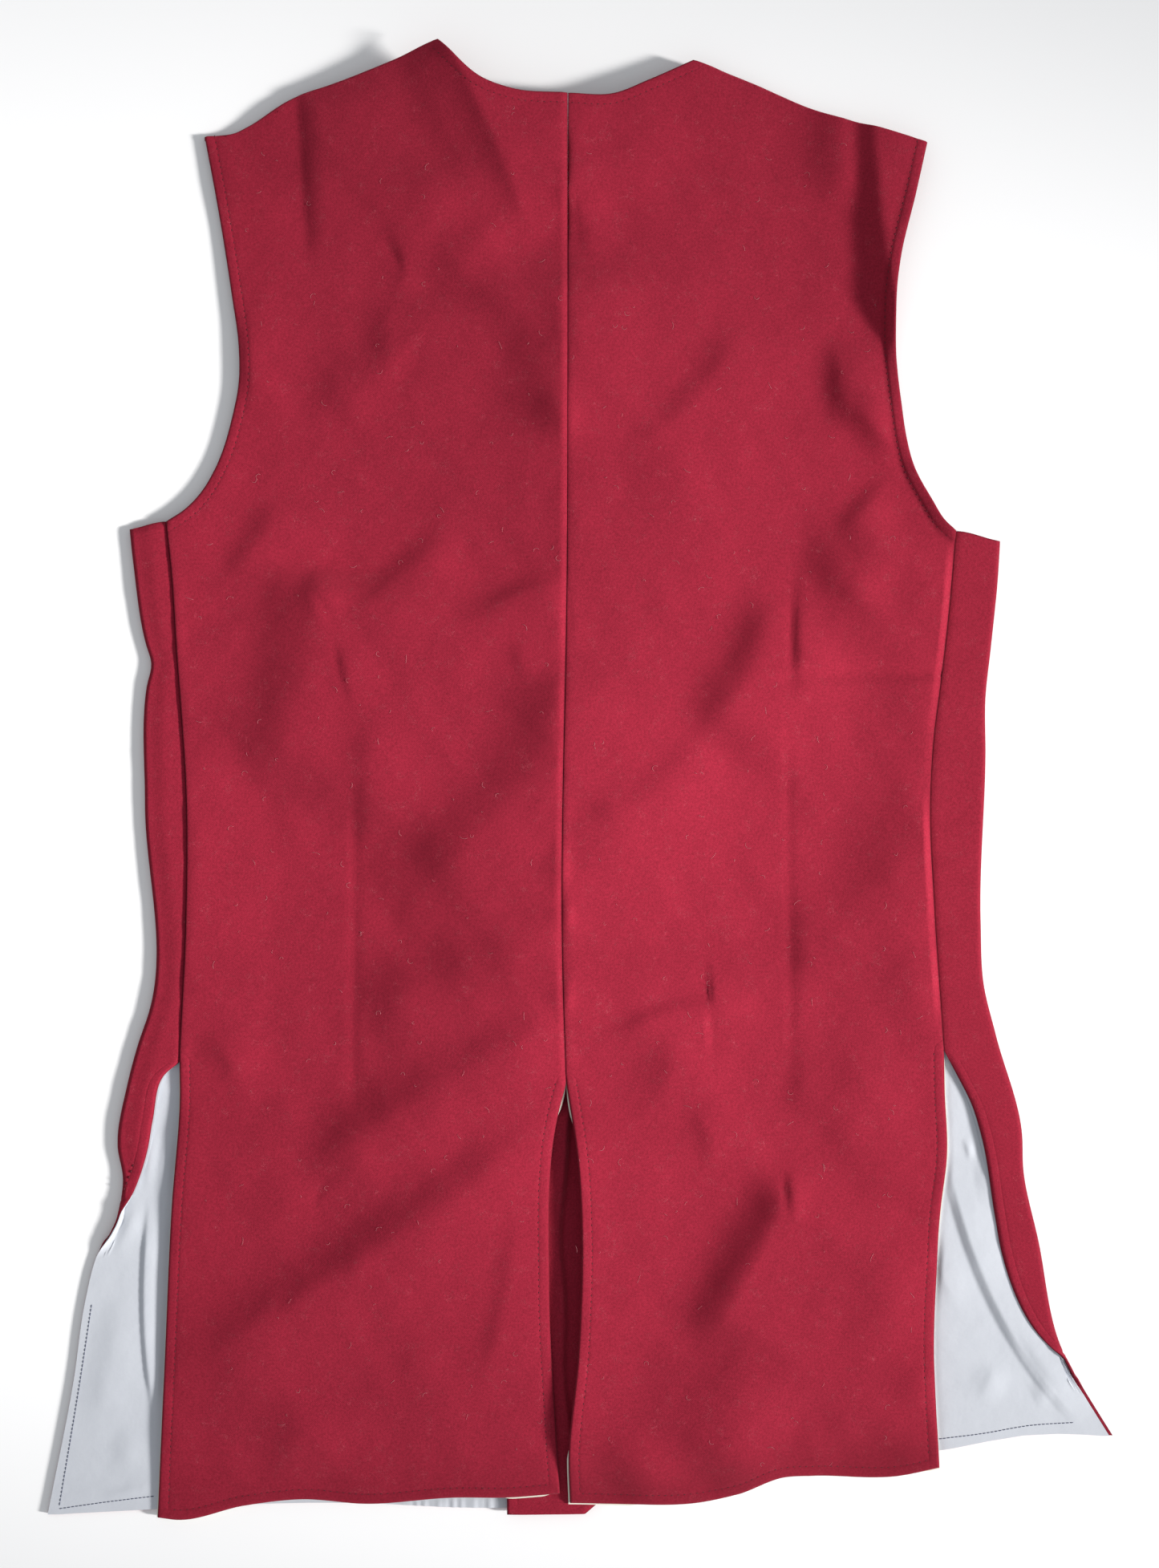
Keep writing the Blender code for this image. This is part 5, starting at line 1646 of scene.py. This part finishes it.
def wool_material():
    """Red milled wool: a cloudy red with a fine grain, pale short fibres and a soft sheen.

    It has painted shade at its hem band, right armhole and side fold, under the stitches, at a cut rim, and
    in the seams.
    """
    material, tree, surface = new_material("red_milled_wool")
    place = place_of(tree)
    nap = use_group(tree, NAP, {"Vector": place})
    weave = use_group(tree, WEAVE, {"Vector": place, "Threads": WOOL_THREADS})
    lines = use_group(tree, EDGE_LINES, {"Edge": mark_of(tree, "edge"), "Seam": mark_of(tree, "seam")})
    colour = blend(tree, stretched(tree, nap["Cloud"], 0.3, 0.7), *WOOL_CLOUD)
    grain = blend(tree, stretched(tree, nap["Grain"], 0.3, 0.7), *WOOL_GRAIN)
    colour = blend(tree, 1.0, colour, grain, "MULTIPLY")
    colour = blend(tree, math(tree, "MULTIPLY", nap["Fibre"], FIBRE_SHARE), colour, WOOL_FIBRE)
    # Painted shade in the valley under the stitches
    valley_painted_shade = math(tree, "MULTIPLY", lines["Valley"], VALLEY_PAINTED_SHADE)
    # Painted shade where the wool is marked: the hem band, the right armhole's stitches and the side fold
    dark = math(tree, "MULTIPLY_ADD", mark_of(tree, "painted_shade"), PAINTED_SHADE_DARKNESS, valley_painted_shade)
    # Painted shade along each cut rim
    dark = math(tree, "MAXIMUM", dark, math(tree, "MULTIPLY", lines["Rim"], RIM_PAINTED_SHADE))
    colour = blend(tree, dark, colour, WOOL_PAINTED_SHADE_COLOUR)
    # Painted shade along the seams
    colour = blend(tree, math(tree, "MULTIPLY", lines["Seam line"], SEAM_PAINTED_SHADE), colour, SEAM_PAINTED_SHADE_COLOUR)
    deep = bump(tree, math(tree, "MULTIPLY", lines["Valley"], -1.0), 0.3, 0.0003)
    threads = math(tree, "MULTIPLY_ADD", weave["Height"], 0.35, nap["Height"])
    values = {
        "Base Color": colour,
        "Normal": bump(tree, threads, 0.45, 0.00035, Normal=deep),
        "Roughness": 0.92,
        "Specular IOR Level": 0.15,
        "Sheen Weight": 0.18,
        "Sheen Roughness": 0.45,
        "Sheen Tint": WOOL_SHEEN,
    }
    feed(tree, surface, values)
    return material


def cotton_material(name, shade, light):
    """Plain woven cotton: two close shades, uneven threads, fine crinkles and a low weave."""
    material, tree, surface = new_material(name)
    place = place_of(tree)
    weave = use_group(tree, WEAVE, {"Vector": place, "Threads": COTTON_THREADS})
    cloud = math(tree, "MULTIPLY", noise(tree, place, 60.0, 4.0), 0.5)
    colour = blend(tree, math(tree, "MULTIPLY_ADD", weave["Slub"], 0.5, cloud), shade, light)
    crinkle = bump(tree, noise(tree, place, 90.0, 3.0), 0.22, 0.0012)
    fine = bump(tree, weave["Height"], 0.25, 0.0001, Normal=crinkle)
    values = {"Base Color": colour, "Normal": fine, "Roughness": 0.75, "Specular IOR Level": 0.25}
    feed(tree, surface, values)
    return material


def thread_material(name, colour):
    """Sewing thread or a fibre: soft gloss and a slightly uneven colour."""
    material, tree, surface = new_material(name)
    uneven_thread = noise(tree, place_of(tree), 900.0, 2.0)
    shade = [0.7 * part for part in colour]
    values = {
        "Base Color": blend(tree, uneven_thread, (*shade, 1), (*colour, 1)),
        "Normal": bump(tree, uneven_thread, 0.4, 0.0001),
        "Roughness": 0.6,
        "Specular IOR Level": 0.3,
    }
    feed(tree, surface, values)
    return material


def inset_line(outline, inwards):
    """Points of an outline moved inwards by the stitches' distance; inwards is roughly that way."""
    line = evenly(outline, STITCH_LINE_CELLS)
    return line + across_row(line, inwards) * STITCH_IN


def stitch_places(line, pitch):
    """Even places along a 3-D line, with the direction there."""
    step = np.linalg.norm(np.diff(line, axis=0), axis=1)
    at = np.concatenate([[0], np.cumsum(step)])
    where = (np.arange(int(at[-1] / pitch)) + 0.5) * pitch
    behind, centre, ahead = (
        np.stack([np.interp(where + off, at, line[:, k]) for k in range(3)], axis=1)
        for off in (-WAY_STEP, 0, WAY_STEP)
    )
    way = ahead - behind
    return centre, way / np.linalg.norm(way, axis=1)[:, None]


def gather(lines, pitch):
    """The places and directions of all stitches on some lines."""
    places = [stitch_places(line, pitch) for line in lines if len(line) > 3]
    return [np.concatenate(parts) for parts in zip(*places)]


def make_tubes(name, points, turned, material):
    """Short closed tubes as one piece, from points for each tube, ring and place round the ring.

    Four points on two rings make each face of a tube's side, and its first and last rings close it.
    They run the other way round where the rings are turned.
    """
    count, rings, sides = points.shape[:3]
    ring, place = np.meshgrid(np.arange(rings - 1) * sides, np.arange(sides), indexing="ij")
    after = (place + 1) % sides
    around = np.stack([ring + place, ring + after, ring + sides + after, ring + sides + place], axis=-1)
    ends = np.stack([np.arange(sides)[::-1], (rings - 1) * sides + np.arange(sides)])
    first = (np.arange(count) * rings * sides)[:, None, None]
    faces = []
    for corners in (around.reshape(-1, 4), ends):
        corners = (corners + first).reshape(-1, corners.shape[-1])
        faces += (corners[:, ::-1] if turned else corners).tolist()
    return new_piece(name, points.reshape(-1, 3).tolist(), faces, material)


def make_stitches(name, lines, material, pitch=STITCH_PITCH, length=STITCH_LENGTH, radius=THREAD_RADIUS):
    """Short threads, each a bent tube of six sides that dives into the cloth at both ends.

    A ring at share s of a stitch is at s times its length along it, s squared times a dip below it,
    and its radius falls to nothing at both ends.
    """
    centres, ways = gather(lines, pitch)
    around = np.linspace(0, 2 * np.pi, THREAD_SIDES + 1)[:-1]
    side = np.cross([0.0, 0.0, 1.0], ways)
    side = side / np.linalg.norm(side, axis=1)[:, None]
    top = np.cross(ways, side)
    ring = centres[:, None] + ways[:, None] * (STITCH_RINGS * length / 2)[None, :, None]
    ring = ring - top[:, None] * (STITCH_DIP * STITCH_RINGS**2)[None, :, None]
    swell = radius * STITCH_SWELL[:, None]
    points = (
        ring[:, :, None]
        + side[:, None, None] * (swell * np.cos(around))[None, :, :, None]
        + top[:, None, None] * (swell * np.sin(around))[None, :, :, None]
    )
    return make_tubes(name, points, True, material)


def back_stitch_lines(half):
    """The topstitching of one back half, as 3-D lines on its surface."""
    borders = (
        (half.neck, (0, -1)),
        (half.armhole, (-half.side, -0.3)),
        (half.side_vent, (-half.side, 0)),
        (half.hem, (0, 1)),
        (half.vent, (half.side, 0)),
    )
    lines = []
    for outline, inwards in borders:
        line = inset_line(outline, inwards)
        edge, seam = back_edges(half, line[:, 0], line[:, 1])
        line = line[(edge > STITCH_IN_LEAST) & (seam > SEAM_CLEAR)]
        top, _, _, _ = back_top(half, line[:, 0], line[:, 1])
        lines.append(np.column_stack([line, top - THREAD_SINK]))
    return lines


def on_strip(front, rows, run):
    """Places of thread in the turned strip's upper side, at a run in each row."""
    middle, normal = turned_part(front.side, rows, run[:, None])
    return (middle - normal * (WOOL / 2 - STRIP_THREAD_SINK))[:, 0]


def strip_stitch_lines(front, rows):
    """The topstitching of a turned strip: along its free edge and below the underarm."""
    top, bottom = front.seam[-1][1] - FREE_EDGE_CLEAR[0], front.free[-1][1] - FREE_EDGE_CLEAR[1]
    free = (rows.levels < top) & (rows.levels > bottom)
    free = free & (rows.length - STITCH_IN > np.pi * rows.radius * TURN_CLEAR)
    free_rows = Rows(*(values[free] for values in rows))
    along_edge = on_strip(front, free_rows, free_rows.length - STITCH_IN)
    share = np.linspace(BELOW_ARM_START, 1, BELOW_ARM_POINTS)
    level = np.full(len(share), front.seam[0][1] - STITCH_IN)
    top_rows = Rows(*(np.interp(-level, -rows.levels, values) for values in rows))
    below_arm = on_strip(front, top_rows, top_rows.length * share)
    below_arm[:, 1] -= underarm_drop(front, STITCH_IN, share)
    return [along_edge, below_arm]


def lining_stitch_lines(front):
    """The stitch lines of one skirt lining, as 3-D lines on its upper side."""
    lines = []
    for outline in LINING_STITCHES[front.name]:
        line = evenly(outline, LINING_LINE_CELLS)
        top = WOOL + GAP + LINING + lining_creases(front, line[:, 0], line[:, 1])
        lines.append(np.column_stack([line, top + LINING_THREAD_RISE]))
    return lines


def make_lint(material):
    """Short pale fibres that lie on the back, each a thin bent tube of three sides.

    A fibre's heading turns evenly along it, and its middle bows up by the square of the share.
    """
    chance = np.random.default_rng(LINT_SEED)
    share = np.linspace(-0.5, 0.5, LINT_POINTS)[None]
    lines, turns = [], []
    for half in (LEFT_HALF, RIGHT_HALF):
        x = chance.uniform(*LINT_PLACES[half.name], LINT_COUNT * 2)
        y = chance.uniform(*LINT_LEVELS, LINT_COUNT * 2)
        sides = (half.armhole, half.seam, half.side_vent)
        outer = joined(*(evenly(line, LINT_EDGE_CELLS) for line in sides))
        limit = np.interp(y, outer[::-1, 1], outer[::-1, 0])
        good = half.side * (limit - x) > LINT_FROM_SIDE
        x, y = x[good][:LINT_COUNT, None], y[good][:LINT_COUNT, None]
        heading = chance.uniform(0, np.pi, len(x))[:, None]
        curl = chance.uniform(-LINT_CURL, LINT_CURL, len(x))[:, None]
        length = chance.uniform(*LINT_LENGTHS, len(x))[:, None]
        turn = heading + curl * share
        x = x + length * share * np.cos(turn)
        y = y + length * share * np.sin(turn)
        top, _, _, _ = back_top(half, x, y)
        lines.append(np.dstack([x, y, top + LINT_RISE + LINT_BOW * (0.25 - share**2)]))
        turns.append(turn)
    line, turn = np.concatenate(lines), np.concatenate(turns)
    across = LINT_RADIUS * np.dstack([-np.sin(turn), np.cos(turn), np.zeros_like(turn)])
    up = LINT_RADIUS * np.array([0.0, 0.0, 1.0])
    points = np.stack([line + across, line + up, line - across], axis=2)
    return make_tubes("pale_fibres", points, False, material)


red_wool = wool_material()
white_cotton = cotton_material("white_lining_cotton", *WHITE_COTTON)
cream_cotton = cotton_material("cream_lining_cotton", *CREAM_COTTON)
red_thread = thread_material("red_thread", RED_THREAD)
grey_thread = thread_material("grey_thread", GREY_THREAD)
pale_fibre = thread_material("pale_fibre", PALE_FIBRE)

left_grid = front_grid(LEFT_FRONT)
right_grid = front_grid(RIGHT_FRONT)
front_left = make_front(LEFT_FRONT, left_grid, red_wool)
front_right = make_front(RIGHT_FRONT, right_grid, red_wool)
lining_left = make_front_lining(LEFT_FRONT, left_grid, white_cotton)
lining_right = make_front_lining(RIGHT_FRONT, right_grid, white_cotton)
facing = make_facing(right_grid, red_wool)
back_lining_left = make_back_lining(LEFT_HALF, cream_cotton)
back_lining_right = make_back_lining(RIGHT_HALF, cream_cotton)
back_left = make_back(LEFT_HALF, red_wool)
back_right = make_back(RIGHT_HALF, red_wool)

wool_lines = back_stitch_lines(LEFT_HALF) + back_stitch_lines(RIGHT_HALF)
wool_lines += strip_stitch_lines(LEFT_FRONT, left_grid.rows)
wool_lines += strip_stitch_lines(RIGHT_FRONT, right_grid.rows)
wool_stitches = make_stitches("topstitching", wool_lines, red_thread)
white_lines = lining_stitch_lines(LEFT_FRONT) + lining_stitch_lines(RIGHT_FRONT)
white_stitches = make_stitches(
    "lining_stitching", white_lines, grey_thread, LINING_PITCH, LINING_PITCH, LINING_THREAD
)
lint = make_lint(pale_fibre)

# Each sheet: its piece, the node that it stands for, its flat size and area, and what it rests on
fronts = ["front_left_wool", "front_right_wool"]
wool_sheets = (
    (back_left, "back_left", (0.25, 0.88), 0.19, fronts),
    (back_right, "back_right", (0.24, 0.87), 0.18, fronts),
    (front_left, "front_left", (0.36, 0.88), 0.224, []),
    (front_right, "front_right", (0.40, 0.87), 0.24, ["front_left_wool"]),
    (facing, "front_facing", (0.055, 0.29), 0.0158, ["front_right_wool"]),
)
white_sheets = (
    (lining_left, "front_lining_left", (0.30, 0.29), 0.075, ["front_left_wool"]),
    (lining_right, "front_lining_right", (0.31, 0.28), 0.073, ["front_right_wool"]),
)
cream_sheets = (
    (back_lining_left, "back_lining_left", (0.25, 0.29), 0.062, ["front_lining_left_cotton"]),
    (back_lining_right, "back_lining_right", (0.23, 0.28), 0.057, ["front_lining_right_cotton"]),
)
cloths = (("red_wool", wool_sheets), ("white_cotton", white_sheets), ("cream_cotton", cream_sheets))
for slot, sheets in cloths:
    for piece, node, flat, area, under in sheets:
        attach(piece, "root")
        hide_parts(node)
loose = ((wool_stitches, "red_wool"), (white_stitches, "white_cotton"), (lint, "red_wool"))
for piece, slot in loose:
    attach(piece, "root")


def make_floor():
    """A plain pale floor, a wide flat square."""
    material, tree, surface = new_material("pale_floor")
    colour = blend(tree, noise(tree, place_of(tree), 8.0, 3.0), *PALE_FLOOR)
    feed(tree, surface, {"Base Color": colour, "Roughness": 0.9})
    corners = [(FLOOR_REACH * x, FLOOR_REACH * y, 0) for x, y in ((-1, -1), (1, -1), (1, 1), (-1, 1))]
    new_piece("floor", corners, [(0, 1, 2, 3)], material)


def make_window_light():
    """A square soft light that looks at the garment from the right, low over the floor."""
    lamp = bpy.data.lights.new("window_light", "AREA")
    lamp.shape = "SQUARE"
    lamp.size = LIGHT_SIZE
    lamp.spread = np.radians(LIGHT_SPREAD)
    lamp.energy = LIGHT_POWER
    lamp.color = LIGHT_COLOUR
    holder = bpy.data.objects.new("window_light", lamp)
    azimuth, elevation = np.radians(LIGHT_AZIMUTH), np.radians(LIGHT_ELEVATION)
    holder.location = (
        LIGHT_AIM[0] + LIGHT_DISTANCE * np.cos(elevation) * np.cos(azimuth),
        LIGHT_AIM[1] + LIGHT_DISTANCE * np.cos(elevation) * np.sin(azimuth),
        LIGHT_DISTANCE * np.sin(elevation),
    )
    holder.rotation_euler = (np.pi / 2 - elevation, 0, azimuth + np.pi / 2)
    bpy.context.scene.collection.objects.link(holder)


def make_sky():
    """A soft even light from all sides."""
    world = bpy.data.worlds.new("soft_sky")
    world.use_nodes = True
    sky = world.node_tree.nodes["Background"]
    sky.inputs["Color"].default_value = SKY_COLOUR
    sky.inputs["Strength"].default_value = SKY_STRENGTH
    bpy.context.scene.world = world


def make_camera():
    """The camera straight above the garment."""
    lens = bpy.data.cameras.new("camera")
    lens.sensor_width = CAMERA_SENSOR
    lens.lens = CAMERA_LENS
    lens.clip_end = CAMERA_FAR
    camera = bpy.data.objects.new("camera", lens)
    camera.location = CAMERA_PLACE
    bpy.context.scene.collection.objects.link(camera)
    bpy.context.scene.camera = camera
    bpy.context.scene.view_settings.view_transform = "Standard"


make_floor()
make_window_light()
make_sky()
make_camera()
